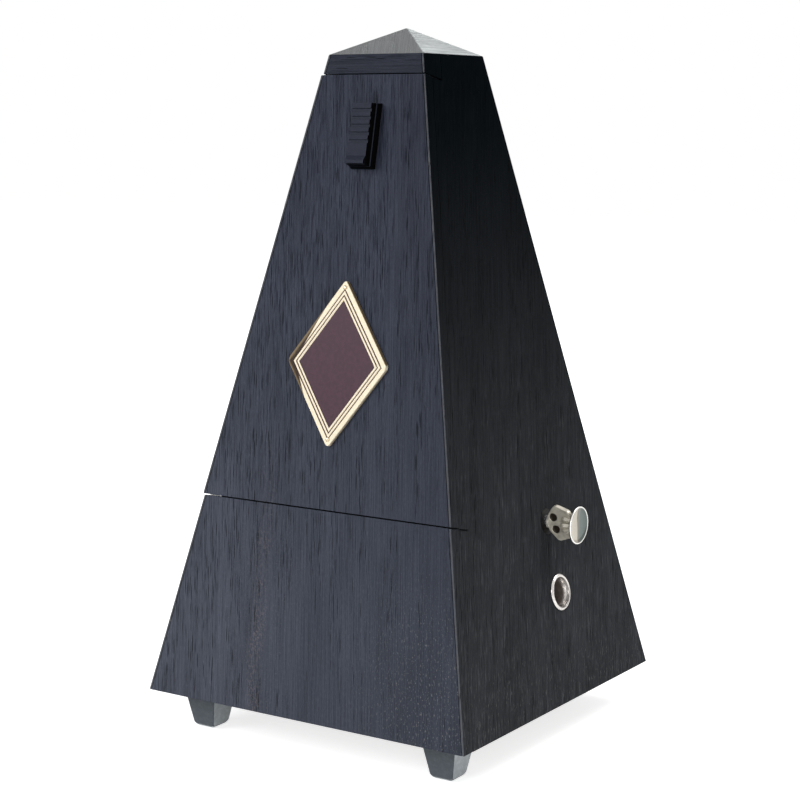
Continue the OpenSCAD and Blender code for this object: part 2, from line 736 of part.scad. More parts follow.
module winding_key() color("#d9d6cc") {
  hub_x = 0.42 * key_reach;
  hub_end = key_reach - knob_t - 2;
  on_arbor(key_y, key_z, face_key) {
    translate([0, 0, 0.5]) cylinder(h = key_reach - knob_t - 0.5, d = 0.8 * wind_d);
    difference() {
      rotate_extrude() polygon([[0, hub_x - 0.6], [hub_d / 2, hub_x], [hub_d / 2, hub_x + 0.8],
        [hub_d / 2 - 0.6, hub_end], [0, hub_end]]);
      for (i = [0:9]) rotate([0, 0, 36 * i])
        translate([hub_d / 2 + 0.2, 0, 0]) cylinder(h = key_reach, d = 1);
    }
    difference() {
      rotate([90, 0, 90]) linear_extrude(blade_t, center = true) blade_outline();
      for (side = [-1, 1]) translate([0, side * 0.45 * blade_r, 0.28 * key_reach])
        rotate([0, 90, 0]) cylinder(h = 3 * blade_t, d = finger_d, center = true);
    }
  }
}

// Outline of the blade: height from the axis by distance out from the panel
module blade_outline() polygon([[-1.8, 0.7], [1.8, 0.7], [2.8, 1.4], [blade_r, 3.3], [blade_r, 4.3],
  [0.7 * blade_r, 0.72 * key_reach], [-0.7 * blade_r, 0.72 * key_reach], [-blade_r, 4.3], [-blade_r, 3.3],
  [-2.8, 1.4]]);

module key_knob() color("#e6e4dc") on_arbor(key_y, key_z, face_key + key_reach - knob_t)
  rotate_extrude() polygon([[0, 0], [0.85 * knob_d / 2, 0], [knob_d / 2, 0.4], [knob_d / 2, knob_t - 0.1],
    [0.95 * knob_d / 2, knob_t], [0.86 * knob_d / 2, knob_t - 0.1], [0.7 * knob_d / 2, 0.4], [0, 0.3]]);

module ratchet_wheel() color("silver") on_arbor(key_y, key_z, plate_x + plate_t + 0.5)
  linear_extrude(wheel_t) difference() {
    polygon([for (i = [0:ratchet_n - 1], k = [0, 1]) let (a = 360 * i / ratchet_n + (k == 0 ? 0 : 2))
      (k == 0 ? ratchet_r : ratchet_r - 1.2) * [cos(a), sin(a)]]);
    circle(d = wind_d + 2 * press_gap);
  }

module click() color("silver") on_arbor(key_y + click_y, key_z + click_z, plate_x + plate_t + 0.5)
  linear_extrude(wheel_t) difference() {
    union() {
      circle(d = 2.2 * click_screw_d);
      polygon([[0, 1.1 * click_screw_d], [-click_y, ratchet_r + 1.4 - click_z],
        [-click_y, ratchet_r + 0.35 - click_z], [-0.5, -1.1 * click_screw_d]]);
      translate([0, -1.2]) square([3.1, 2.4]);
    }
    circle(d = click_screw_d + 0.1);
  }

// ---- Barrel ----
module barrel() color("#cfae5c") on_arbor(key_y, key_z, barrel_x) difference() {
  cylinder(h = barrel_w, r = barrel_r);
  translate([0, 0, 1.2]) cylinder(h = barrel_w, r = barrel_r - barrel_wall);
  translate([0, 0, -1]) cylinder(h = 4, d = wind_d + 2 * bearing_gap);
}

// Spur wheel outline: each tooth has a root, two flanks and a tip
module teeth(n, phase = 0) {
  r = pitch_r(n);
  root = r - 1.15 * tooth;
  tip = r + 0.8 * tooth;
  polygon([for (i = [0:n - 1], k = [0:3]) let (a = 360 / n * (i + phase + [-0.3, -0.1, 0.1, 0.3][k]))
    (k == 0 || k == 3 ? root : tip) * [cos(a), sin(a)]]);
}

module spoked(n, hub, phase = 0) {
  r = pitch_r(n);
  difference() {
    teeth(n, phase);
    for (i = [0:3]) rotate(45 + 90 * i) translate([0.52 * r, 0]) circle(r = 0.24 * r);
    circle(d = hub);
  }
}

module great_wheel() color("#cfae5c") on_arbor(key_y, key_z, barrel_x + barrel_w) linear_extrude(wheel_t)
  difference() {
    teeth(great_n);
    circle(d = wind_d + 2 * bearing_gap);
  }

// Spiral strip from the arbor's core to the barrel's wall
spring_in = 0.75 * wind_d + 0.4;
spring_out = barrel_r - barrel_wall - 0.9;
spring_steps = 120;
function spiral(i, d) = (spring_in + d + (spring_out - spring_in) * i / spring_steps)
  * [cos(15 * i), sin(15 * i)];
module mainspring() color("#70757c") on_arbor(key_y, key_z, barrel_x + 1.7) linear_extrude(barrel_w - 2.4)
  polygon(concat([for (i = [0:spring_steps]) spiral(i, 0)], [for (i = [spring_steps:-1:0]) spiral(i, 0.5)]));

// Four bell cams with two, three, four and six lobes on one pipe
module bell_cams() color("#cfae5c") {
  lobes = [2, 3, 4, 6];
  difference() {
    union() {
      on_arbor(key_y, key_z, cam_x[0] - 1) cylinder(h = barrel_x - cam_x[0] + 1, d = wind_d + 3);
      for (i = [0:3]) on_arbor(key_y, key_z, cam_x[i]) linear_extrude(cam_t) {
        circle(r = cam_r - 1.6);
        for (k = [0:lobes[i] - 1]) rotate(360 * k / lobes[i])
          polygon([[0, 0], [cam_r, 0], [(cam_r - 1.7) * cos(30), (cam_r - 1.7) * sin(30)]]);
      }
    }
    on_arbor(key_y, key_z, cam_x[0] - 2) cylinder(h = barrel_x - cam_x[0] + 4, d = wind_d + 2 * bearing_gap);
  }
}

// ---- Train ----
module second_arbor() color("silver") {
  on_arbor(second_y, second_z, -plate_x - plate_t) cylinder(h = plate_gap + 2 * plate_t, d = arbor_d);
  on_arbor(second_y, second_z, barrel_x + barrel_w + wheel_t / 2 - pinion_l / 2)
    linear_extrude(pinion_l) rotate(second_turn) teeth(pinion_n);
}

module second_wheel() color("#cfae5c") on_arbor(second_y, second_z, second_x)
  linear_extrude(wheel_t / 2) spoked(second_n, arbor_d, 0);

module crown_arbor() color("silver") {
  on_arbor(crown_y, crown_z, -plate_x - plate_t)
    cylinder(h = plate_x + plate_t + tips_x - crown_w + 1, d = arbor_d);
  on_arbor(crown_y, crown_z, second_x + wheel_t / 4 - pinion_l / 2 + 0.6)
    linear_extrude(pinion_l - 1.2) rotate(crown_turn) teeth(leaf_n);
}

// Crown wheel: a cup whose rim is cut into saw teeth that point along its axis
module crown_wheel() color("#cfae5c") on_arbor(crown_y, crown_z, tips_x - crown_w - web_t) difference() {
  union() {
    difference() {
      cylinder(h = crown_w + web_t, r = crown_r);
      translate([0, 0, web_t]) cylinder(h = crown_w + 1, r = crown_r - 1.1);
      for (i = [0:3]) rotate([0, 0, 90 * i + 45]) translate([0.55 * crown_r, 0, -1])
        cylinder(h = web_t + 2, r = 0.22 * crown_r);
    }
    cylinder(h = web_t + 1.4, d = 2.2 * arbor_d);
  }
  translate([0, 0, -1]) cylinder(h = crown_w, d = arbor_d);
  for (i = [0:crown_n - 1]) rotate([0, 0, 360 / crown_n * i]) rotate([90, 0, 90]) linear_extrude(2 * crown_r)
    polygon([[0, crown_w + web_t + 1], [0, crown_w + web_t - 2.6], [0.5, crown_w + web_t - 2.6],
      [crown_gullet, crown_w + web_t + 0.2], [crown_gullet, crown_w + web_t + 1]]);
}

// ---- Pendulum ----
module on_pivot(depth) on_front(depth, pivot_s) rotate([-90, 0, 0]) children();

module verge() color("silver") {
  start = rod_depth - rod_t / 2 - 0.8;
  on_pivot(start) cylinder(h = verge_back + 1.5 - start, d = arbor_d);
  on_pivot(start) cylinder(h = 0.8, d = 2 * arbor_d);
  on_pivot(rod_depth + rod_t / 2) cylinder(h = bar_front - 0.4 - rod_depth - rod_t / 2, d = 2.4 * arbor_d);
  for (end = [-1, 1]) on_front(crown_at + end * (crown_r - 0.55), pivot_s) rotate([0, end * 42, 0])
    translate([tips_x + 0.3, -1.2, -0.4]) cube([-tips_x - 0.3, 2.4, 0.8]);
}

module pendulum_rod() color("silver") on_front(rod_depth, pivot_s) difference() {
  union() {
    translate([-rod_w / 2, -rod_t / 2, -bob_drop - 0.6 * bob_r])
      cube([rod_w, rod_t, rod_up + bob_drop + 0.6 * bob_r]);
    rotate([90, 0, 0]) cylinder(h = rod_t, d = 2.4 * arbor_d, center = true);
  }
  rotate([90, 0, 0]) cylinder(h = 3 * rod_t, d = arbor_d, center = true);
}

module counterweight() color("#55585c") difference() {
  on_front(bob_front, pivot_s - bob_drop) rotate([-90, 0, 0]) rotate_extrude()
    polygon([[0, 0], [bob_r - 1, 0], [bob_r, 1], [bob_r, bob_t - 1], [bob_r - 1, bob_t], [0, bob_t]]);
  on_front(bob_front - 1, pivot_s - bob_drop - 0.6 * bob_r) translate([-rod_w / 2, 0, 0])
    cube([rod_w, rod_depth + rod_t / 2 - bob_front + 1, 2 * bob_r]);
}

module sliding_weight() color("#d0a83c") on_front(weight_front, pivot_s + weight_at) difference() {
  translate([0, weight_t, 0]) rotate([90, 0, 0]) linear_extrude(weight_t)
    polygon([[-weight_bottom / 2, -weight_h / 2], [weight_bottom / 2, -weight_h / 2],
      [weight_top / 2, weight_h / 2], [-weight_top / 2, weight_h / 2]]);
  translate([-rod_w / 2 - rod_fit, weight_t / 2 - rod_t / 2 - rod_fit, -weight_h])
    cube([rod_w + 2 * rod_fit, rod_t + 2 * rod_fit, 2 * weight_h]);
}

// ---- Bell ----
module bell_pull() color("silver") {
  rod_start = -plate_x - plate_t - 4 * bell_step - 1.5;
  rod_end = face_pull - pull_depth;
  on_arbor(pull_y, pull_z, rod_start) cylinder(h = rod_end - 5 - rod_start, d = pull_d);
  on_arbor(pull_y, pull_z, rod_end - 6) difference() {
    cylinder(h = 6, d = pull_knob_d);
    translate([0, 0, 4]) cylinder(h = 3, d = pull_knob_d - 1.6);
  }
}

module bell_hammer() color("#b8b4a8") {
  tail_x = cam_x[0] + cam_t / 2 - bell_step;
  arm = hammer_drop;
  on_arbor(pull_y, pull_z, tail_x - 2) difference() {
    union() {
      cylinder(h = 4, d = pull_d + 3);
      translate([-0.9, -arm, 1.4]) cube([1.8, arm, 1.2]);
      translate([-0.8, 0, 1.4]) cube([1.6, key_z - pull_z - cam_r - 0.5, 1.2]);
    }
    translate([0, 0, -1]) cylinder(h = 6, d = pull_d + 2 * bearing_gap);
  }
  on_arbor(pull_y, pull_z - arm - 1, tail_x - 1) cylinder(h = 5 * bell_step + 1, d = hammer_d);
}

base_board();
back_panel();
left_panel();
right_panel();
front_panel();
head_rail();
top_cap();
corner_blocks();
foot();
foot_screw();
side_eyelet();
key_bush();
scale_board();
scale_plate();
scale_pin();
rod_clip();
catch_stud();
left_plate();
right_plate();
pillar();
pillar_screw();
plate_bracket();
bracket_screw();
verge_bar();
verge_cock();
crown_cock();
click_screw();
click_spring();
bell_post();
bell();
cover_board();
cover_left_cheek();
cover_right_cheek();
cover_rail();
cover_tongue();
badge();
badge_nail();
latch_housing();
latch_button();
catch_plate();
winding_arbor();
winding_key();
key_knob();
ratchet_wheel();
click();
barrel();
great_wheel();
mainspring();
bell_cams();
second_arbor();
second_wheel();
crown_arbor();
crown_wheel();
verge();
pendulum_rod();
counterweight();
sliding_weight();
bell_pull();
bell_hammer();
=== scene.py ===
"""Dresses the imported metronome: a tapering four-sided body of black stained oak with
its lift-off cover, lozenge badge, winding key and bell pull, and the clockwork inside."""
import bpy
import math
from mathutils import Matrix, Vector


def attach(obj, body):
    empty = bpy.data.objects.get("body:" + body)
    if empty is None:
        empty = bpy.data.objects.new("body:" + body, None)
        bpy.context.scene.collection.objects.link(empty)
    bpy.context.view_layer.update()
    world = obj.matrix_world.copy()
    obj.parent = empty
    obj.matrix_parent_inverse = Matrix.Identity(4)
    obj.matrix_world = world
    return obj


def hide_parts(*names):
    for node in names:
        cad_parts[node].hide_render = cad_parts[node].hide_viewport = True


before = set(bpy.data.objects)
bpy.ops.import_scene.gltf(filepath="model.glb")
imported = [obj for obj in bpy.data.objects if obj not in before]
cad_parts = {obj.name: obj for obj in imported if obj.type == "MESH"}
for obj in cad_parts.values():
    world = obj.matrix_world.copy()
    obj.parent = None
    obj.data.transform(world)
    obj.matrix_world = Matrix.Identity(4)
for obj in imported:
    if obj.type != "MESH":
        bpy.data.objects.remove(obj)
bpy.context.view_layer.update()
bpy.ops.object.select_all(action="DESELECT")
scene = bpy.context.scene
scene.view_settings.view_transform = "Standard"

# ---- Camera and studio -------------------------------------------------------
# A short telephoto lens looks from the right of the front, a little below the pointed top.
# The body stands on white paper, in the light of a large soft box to its left, with smaller
# ones behind it, above it and to its right.
camera_data = bpy.data.cameras.new("camera")
camera_data.sensor_width = 36
camera_data.lens = 85.44
camera_data.clip_start = 0.01
camera = bpy.data.objects.new("camera", camera_data)
camera.location = (0.33001, -0.5052, 0.19223)
camera.rotation_euler = (math.radians(81.67), math.radians(-0.168), math.radians(33.346))
scene.collection.objects.link(camera)
scene.camera = camera


def put(owner, kind, inputs=None, **settings):
    """Adds a shader node. Its inputs are values, or the sockets that feed them."""
    tree = owner.node_tree
    node = tree.nodes.new("ShaderNode" + kind)
    for setting, value in settings.items():
        setattr(node, setting, value)
    for socket, value in (inputs or {}).items():
        if isinstance(value, bpy.types.NodeSocket):
            tree.links.new(value, node.inputs[socket])
        else:
            node.inputs[socket].default_value = value
    return node


def sums(owner, operation, *values):
    """Adds, multiplies or compares values with one Math node for each pair."""
    total = values[0]
    for value in values[1:]:
        total = put(owner, "Math", {0: total, 1: value}, operation=operation).outputs[0]
    return total


def sees_background(owner):
    """1 for rays from the camera, or that reach it by a reflection or through glass."""
    path = put(owner, "LightPath").outputs
    return sums(owner, "MAXIMUM", path["Is Camera Ray"], path["Is Glossy Ray"], path["Is Transmission Ray"])


def length_of(owner, vector):
    """How long a vector is."""
    return put(owner, "VectorMath", {0: vector}, operation="LENGTH").outputs["Value"]


world = bpy.data.worlds.new("studio")
scene.world = world
world.use_nodes = True
world.node_tree.nodes.clear()
room = put(world, "Background", {"Color": (0.93, 0.96, 1.0, 1), "Strength": 0.3})
backdrop = put(world, "Background", {"Color": (1, 1, 1, 1), "Strength": 1.0})
shown = put(world, "MixShader", {0: sees_background(world), 1: room.outputs[0], 2: backdrop.outputs[0]})
put(world, "OutputWorld", {"Surface": shown.outputs[0]})

bpy.ops.mesh.primitive_plane_add(size=6, location=(0, 0, -0.0002))
floor = bpy.context.object
floor.name = "floor"
paper = bpy.data.materials.new("white_paper")
paper.use_nodes = True
paper.node_tree.nodes.clear()
matt = put(paper, "BsdfDiffuse", {"Color": (0.8, 0.8, 0.8, 1)})
distance = length_of(paper, put(paper, "TexCoord").outputs["Object"])
far_glow = put(paper, "MapRange", {"Value": distance, "From Min": 0.15, "From Max": 0.9,
                                   "To Min": 0.74, "To Max": 1.0}).outputs["Result"]
glow = put(paper, "Emission", {"Color": (1, 1, 1, 1), "Strength": far_glow})
lit = put(paper, "AddShader", {0: matt.outputs[0], 1: glow.outputs[0]})
paper_mix = put(paper, "MixShader", {0: sees_background(paper), 1: matt.outputs[0], 2: lit.outputs[0]})
put(paper, "OutputMaterial", {"Surface": paper_mix.outputs[0]})
floor.data.materials.append(paper)


def soft_box(name, place, aim, size, watts, colour):
    """A square soft box at one place that points at another."""
    data = bpy.data.lights.new(name, "AREA")
    data.size = size
    data.energy = watts
    data.color = colour
    lamp = bpy.data.objects.new(name, data)
    lamp.location = place
    lamp.rotation_euler = (Vector(place) - Vector(aim)).to_track_quat("Z", "Y").to_euler()
    scene.collection.objects.link(lamp)


soft_box("key_light", place=(-0.75, -1.05, 0.75), aim=(0, 0, 0.1), size=0.7, watts=12.3,
         colour=(0.97, 0.98, 1.0))
soft_box("back_light", place=(-0.5, 1.1, 0.75), aim=(0, 0, 0.2), size=0.45, watts=1.05,
         colour=(0.92, 1.0, 1.0))
soft_box("top_light", place=(0.5, 0.55, 1.1), aim=(0, 0, 0.12), size=0.6, watts=9.6,
         colour=(1.0, 0.99, 0.97))
soft_box("fill_light", place=(0.62, -0.95, 0.4), aim=(0.05, 0, 0.08), size=0.5, watts=3.4,
         colour=(1.0, 0.99, 0.97))

# ---- Front boards of the body ------------------------------------------------
# The lower front panel and the rail above the cover are oak boards stained blue-black,
# with open pores. They lie flush between two thin oak lippings along the arrises.
MM = 0.001
UNDERSIDE = 12.8
HALF_FOOT = 58.9
BODY_HEIGHT = 200
SIN, COS = 0.20270, 0.97924
LEAN = math.asin(SIN)
OUT_RIGHT = Vector((COS, 0, SIN))
OUT_LEFT = Vector((-COS, 0, SIN))
PANEL_THICK, RAIL_THICK = 5, 9.3
PANEL_END = 63.95
COVER_START, COVER_END = 64.33, 197.85
RAIL_START = 198.21
LIPPING = 0.9
JOINT_LINE = 0.1
# A blank is longer and wider than its board, and is then sawn to the body's planes
BLANK_START, BLANK_END, BLANK_WIDTH = -3, 215, 140


def on_front(x, depth, rise):
    """A place on the sloping front in millimetres: across, behind its face, up its slope."""
    return Vector((x, -HALF_FOOT + depth * COS + rise * SIN, UNDERSIDE - depth * SIN + rise * COS)) * MM


def settle():
    """Moves the selected piece's place into its mesh, so that its object stands at the origin."""
    bpy.ops.object.transform_apply(location=True, rotation=True, scale=True)
    return bpy.context.object


def saw(*cuts):
    """Planes the piece flat: what lies beyond each point, in its direction, comes off."""
    bpy.ops.object.mode_set(mode="EDIT")
    for point, direction in cuts:
        bpy.ops.mesh.select_all(action="SELECT")
        bpy.ops.mesh.bisect(plane_co=point, plane_no=direction, use_fill=True, clear_outer=True)
    bpy.ops.object.mode_set(mode="OBJECT")


def apply(kind, **settings):
    """Adds a modifier to the active piece and applies it."""
    bpy.ops.object.modifier_add(type=kind)
    modifier = bpy.context.object.modifiers[-1]
    for setting, value in settings.items():
        setattr(modifier, setting, value)
    bpy.ops.object.modifier_apply(modifier=modifier.name)


def smooth(angle=35):
    """Shades the active piece smooth across its rounded edges, and leaves its flat faces flat."""
    bpy.ops.object.shade_smooth_by_angle(angle=math.radians(angle))
    apply("WEIGHTED_NORMAL", keep_sharp=True, weight=80)


def ease(width, segments=2, angle=25):
    """Rounds the active piece's edges and shades it smooth across them."""
    apply("BEVEL", width=width * MM, segments=segments, limit_method="ANGLE",
          angle_limit=math.radians(angle), miter_outer="MITER_ARC")
    smooth()


def side_planes(inset):
    """The planes of the two sloping sides, moved inwards."""
    right = Vector((HALF_FOOT, 0, UNDERSIDE)) * MM - OUT_RIGHT * inset * MM
    left = Vector((-HALF_FOOT, 0, UNDERSIDE)) * MM - OUT_LEFT * inset * MM
    return (right, OUT_RIGHT), (left, OUT_LEFT)


UNDER = (Vector((0, 0, UNDERSIDE)) * MM, Vector((0, 0, -1)))
OVER = (Vector((0, 0, UNDERSIDE + BODY_HEIGHT)) * MM, Vector((0, 0, 1)))


def slab(width, depth, rise, x=0):
    """A block that lies along the sloping front, from its ranges of depth and rise."""
    middle = on_front(x, sum(depth) / 2, sum(rise) / 2)
    bpy.ops.mesh.primitive_cube_add(size=1, location=middle, rotation=(-LEAN, 0, 0),
                                    scale=(width * MM, (depth[1] - depth[0]) * MM, (rise[1] - rise[0]) * MM))
    return settle()


def front_board(name, depth, rise, cuts, softness=0.14):
    """A board that lies along the sloping front, sawn to its outline and eased."""
    board = slab(BLANK_WIDTH, depth, rise)
    board.name = name
    saw(*cuts)
    if softness:
        ease(softness)
    return board


def join(name, pieces):
    """Makes several pieces one."""
    bpy.ops.object.select_all(action="DESELECT")
    for piece in pieces:
        piece.select_set(True)
    bpy.context.view_layer.objects.active = pieces[0]
    bpy.ops.object.join()
    pieces[0].name = name
    return pieces[0]


def lippings(name, depth, rise, proud, cuts=()):
    """The pair of narrow strips that cover a front board's two long edges."""
    strips = []
    for side in (0, 1):
        outer = side_planes(-proud)[side]
        inner_point, inner_way = side_planes(LIPPING - proud - JOINT_LINE)[side]
        strips.append(front_board(name, depth, rise, (outer, (inner_point, -inner_way), *cuts), 0.28))
    return join(name, strips)


def faces_aside(face):
    """Says whether a face looks left, right or down."""
    return abs(face.normal.x) > 0.84 or face.normal.z < -0.7


def hand_over(piece, material, body, slot, *replaced, on_sides=None):
    """Gives a finished piece its material, its body and the nodes that it stands for. slot is not used.
    on_sides is the material of what faces left, right or down, where that is another one: the side stain for
    the lippings, and for the feet and the latch a copy of the same paint, painted lighter or darker as
    painted light and painted shade."""
    piece.data.materials.clear()
    piece.data.materials.append(material)
    if on_sides:
        piece.data.materials.append(on_sides)
        for face in piece.data.polygons:
            face.material_index = int(faces_aside(face))
    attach(piece, body)
    if replaced:
        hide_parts(*replaced)
    bpy.ops.object.select_all(action="DESELECT")


def new_material(name):
    """A material that has only its shader."""
    material = bpy.data.materials.new(name)
    material.use_nodes = True
    return material


def feed(material, **sockets):
    """Plugs values into the shader's sockets; an underscore in a name stands for a space."""
    shader = material.node_tree.nodes["Principled BSDF"]
    for socket, value in sockets.items():
        target = shader.inputs[socket.replace("_", " ")]
        if isinstance(value, bpy.types.NodeSocket):
            material.node_tree.links.new(value, target)
        else:
            target.default_value = value


def ramp(owner, value, low, high, out_low=0.0, out_high=1.0):
    """Eases a value from one range into another."""
    return put(owner, "MapRange", {"Value": value, "From Min": low, "From Max": high, "To Min": out_low,
                                   "To Max": out_high}, interpolation_type="SMOOTHSTEP").outputs["Result"]


def blend(owner, amount, below, above):
    """Lays one colour over another."""
    colours = {6: below, 7: above}
    for socket, colour in colours.items():
        if isinstance(colour, tuple):
            colours[socket] = (*colour, 1)
    return put(owner, "Mix", {0: amount, **colours}, data_type="RGBA").outputs[2]


def noise(owner, vector, scale=1.0, detail=2.0, roughness=0.5):
    """A cloudy value between 0 and 1."""
    return put(owner, "TexNoise", {"Vector": vector, "Scale": scale, "Detail": detail,
                                   "Roughness": roughness}).outputs["Fac"]


def in_millimetres(owner, centre=(0, 0, 0)):
    """Object coordinates in millimetres, counted from a centre."""
    here = put(owner, "TexCoord").outputs["Object"]
    back = [-part for part in centre]
    return put(owner, "Mapping", {"Vector": here, "Scale": [1 / MM] * 3, "Location": back}).outputs["Vector"]


def parts_of(owner, vector):
    """The X, Y and Z of a place."""
    return put(owner, "SeparateXYZ", {0: vector}).outputs


def unsigned(owner, value):
    """A value without its sign."""
    return put(owner, "Math", {0: value}, operation="ABSOLUTE").outputs[0]


def relief(owner, height, distance, strength=0.6):
    """Raises and sinks the surface by a height given in metres."""
    bump = put(owner, "Bump", {"Strength": strength, "Distance": distance, "Height": height})
    return bump.outputs["Normal"]


def stained_oak(name, across, along, seed, low, high, pores, gloss, rough, lean=0.0, open_corner=0.0,
                cut=1.0, marks=None):
    """Open-grained oak under a dark stain: fine fibres, short pores and a cloudy tone that runs
    from low at the underside to high at the top. Where the underside is lighter, that is painted
    light, standing in for the light that the floor throws up and the fall of the soft boxes. The
    grain leans by lean, opens by open_corner towards the upper left and is cut in as dark as cut
    says. marks adds what one board alone shows."""
    material = new_material(name)
    axes = parts_of(material, in_millimetres(material))
    rise = axes[along]
    side = sums(material, "SUBTRACT", axes[across], sums(material, "MULTIPLY", rise, lean))
    thickness = next(axis for axis in "XYZ" if axis not in (across, along))
    through = unsigned(material, axes[thickness])
    spread = sums(material, "ADD", side, through, sums(material, "MULTIPLY", axes["Z"], math.tan(LEAN)))

    def grain(width, length, offset):
        """A place in a pattern whose cells are so wide and so long, in millimetres."""
        return put(material, "CombineXYZ", {0: sums(material, "MULTIPLY", spread, 1 / width),
                                            1: seed + offset,
                                            2: sums(material, "MULTIPLY", rise, 1 / length)}).outputs[0]

    fibres = noise(material, grain(0.42, 26, 0), detail=5.0, roughness=0.62)
    lines = noise(material, grain(0.26, 11, 17), detail=3.0, roughness=0.6)
    fine = noise(material, grain(0.2, 1.4, 7), detail=3.0, roughness=0.7)
    cloud = noise(material, grain(14, 60, 3))
    bands = noise(material, grain(4, 90, 5))

    # Pores and dark lines crowd together where the wood is open
    openness = sums(material, "ADD", bands, ramp(material, axes[across], 35, -35, -open_corner, open_corner),
                    ramp(material, rise, 20, 150, -0.4 * open_corner, open_corner))
    cells = put(material, "TexVoronoi", {"Vector": grain(0.42, 8, 11), "Scale": 1.0}).outputs
    chance = put(material, "SeparateColor", {0: cells["Color"]}).outputs[0]
    depth = ramp(material, cells["Distance"], 0.42, 0.16)
    pore = sums(material, "MULTIPLY", depth, ramp(material, openness, 0.34, 0.62, 0.3, 1.0),
                ramp(material, sums(material, "ADD", chance, openness), 1.22 - pores, 1.34 - pores))
    groove = sums(material, "MULTIPLY", ramp(material, lines, 0.50, 0.66),
                  ramp(material, openness, 0.34, 0.62, 0.12, 1.0))

    # The stain sits thin on the hard fibres, and dark in the lines and pores
    # The tone runs from low at the underside to high at the top: on the outer boards the lighter underside
    # is painted light from the floor below
    tone = blend(material, ramp(material, axes["Z"], UNDERSIDE, UNDERSIDE + BODY_HEIGHT), low, high)
    strength = sums(material, "MULTIPLY", ramp(material, cloud, 0.32, 0.68, 0.92, 1.1),
                    ramp(material, fibres, 0.36, 0.66, 1.14, 0.76),
                    ramp(material, fine, 0.42, 0.75, 0.92, 1.32),
                    ramp(material, groove, 0.0, 1.0, 1.05, 1.05 - 0.67 * cut),
                    ramp(material, pore, 0.1, 0.8, 1.0, 0.2))
    tone = put(material, "VectorMath", {0: tone, "Scale": strength}, operation="SCALE").outputs[0]
    if marks:
        tone = marks(material, tone, side, rise, grain)

    # Fibres stand up a little, lines and pores are cut in
    raised = sums(material, "ADD", sums(material, "MULTIPLY", fibres, 0.4),
                  sums(material, "MULTIPLY", fine, 0.16))
    height = sums(material, "SUBTRACT", raised, pore, sums(material, "MULTIPLY", groove, 0.5))
    feed(material, Base_Color=tone, Roughness=ramp(material, fibres, 0.3, 0.7, rough - 0.06, rough + 0.08),
         Normal=relief(material, height, 0.00022), Specular_IOR_Level=gloss)
    return material


def front_marks(material, tone, side, rise, grain):
    """A pinkish mottled streak to the left of the lower panel's middle, a left side painted paler
    and a right side painted darker as painted light from the left, and pale dust towards the lower right
    corner."""
    # Painted light: the board is painted darker right of its middle and paler to the left, as if lit from
    # the left
    painted_light_tint = blend(material, ramp(material, side, 50, 20), (0.82, 0.82, 0.83), (1.0, 1.0, 1.0))
    painted_light_tint = blend(material, ramp(material, side, 10, -50), painted_light_tint, (1.42, 1.40, 1.36))
    tone = put(material, "VectorMath", {0: tone, 1: painted_light_tint}, operation="MULTIPLY").outputs[0]

    # The streak wanders up the board, 9 mm wide, and fades out above the cover's lower edge
    place = sums(material, "SUBTRACT", side, sums(material, "MULTIPLY", rise, 0.078))
    wander = sums(material, "MULTIPLY", noise(material, grain(30, 25, 40)), 5)
    middle = sums(material, "ADD", place, wander, 14.6)
    band = sums(material, "MULTIPLY", ramp(material, middle, -4.5, 0), ramp(material, middle, 4.5, 0))
    patchy = ramp(material, noise(material, grain(9, 12, 43)), 0.36, 0.6, 0.35, 1.0)
    low = sums(material, "MULTIPLY", ramp(material, rise, 105, 50), band, patchy)
    speckle = ramp(material, noise(material, grain(0.7, 1.1, 31), detail=3.0, roughness=0.75), 0.46, 0.64)
    tone = blend(material, sums(material, "MULTIPLY", low, speckle, 0.62), tone, (0.170, 0.145, 0.158))

    # Crumbs of it lie to both sides, and pale dust fills the pores of the lower right corner
    wide = sums(material, "MULTIPLY", ramp(material, middle, -20, -6), ramp(material, middle, 22, 6),
                ramp(material, rise, 80, 55))
    crumbs = ramp(material, noise(material, grain(0.5, 0.8, 37), detail=2.0, roughness=0.8), 0.56, 0.7)
    tone = blend(material, sums(material, "MULTIPLY", wide, crumbs, 0.4), tone, (0.14, 0.14, 0.155))
    corner = sums(material, "MULTIPLY", ramp(material, side, 12, 46), ramp(material, rise, 74, 24))
    dust = ramp(material, noise(material, grain(0.4, 1.2, 57), detail=2.0, roughness=0.8), 0.58, 0.69)
    return blend(material, sums(material, "MULTIPLY", corner, dust, 0.8), tone, (0.20, 0.20, 0.20))


def lipping_marks(material, tone, side, rise, grain):
    """The stain is rubbed thin along the arris, in patches that thin out upwards; the pale patches are also
    a painted highlight, the light that the arris catches.
    """
    rubbed = ramp(material, noise(material, grain(4, 5, 21), detail=4.0, roughness=0.7), 0.42, 0.66)
    bare = ramp(material, noise(material, grain(3, 1.6, 25), detail=3.0, roughness=0.8), 0.60, 0.70)
    low = ramp(material, rise, 60, 20)
    tone = blend(material, sums(material, "MULTIPLY", rubbed, 0.5), tone, (0.085, 0.088, 0.092))
    return blend(material, sums(material, "MULTIPLY", bare, low, 0.9), tone, (0.30, 0.28, 0.25))


def side_marks(material, tone, side, rise, grain):
    """Fine pale streaks in the grain, denser towards the foot."""
    streaks = ramp(material, noise(material, grain(0.3, 9, 61), detail=3.0, roughness=0.7), 0.52, 0.68)
    broken = ramp(material, noise(material, grain(6, 6, 63), detail=2.0), 0.40, 0.60, 0.15, 1.0)
    low = ramp(material, rise, 150, 15, 0.03, 1.0)
    tone = blend(material, sums(material, "MULTIPLY", streaks, broken, low, 0.8), tone, (0.115, 0.12, 0.13))
    foot = ramp(material, rise, 48, 13)
    chips = ramp(material, noise(material, grain(0.3, 3.5, 67), detail=2.0, roughness=0.8), 0.61, 0.71)
    return blend(material, sums(material, "MULTIPLY", chips, foot, 0.8), tone, (0.21, 0.205, 0.20))


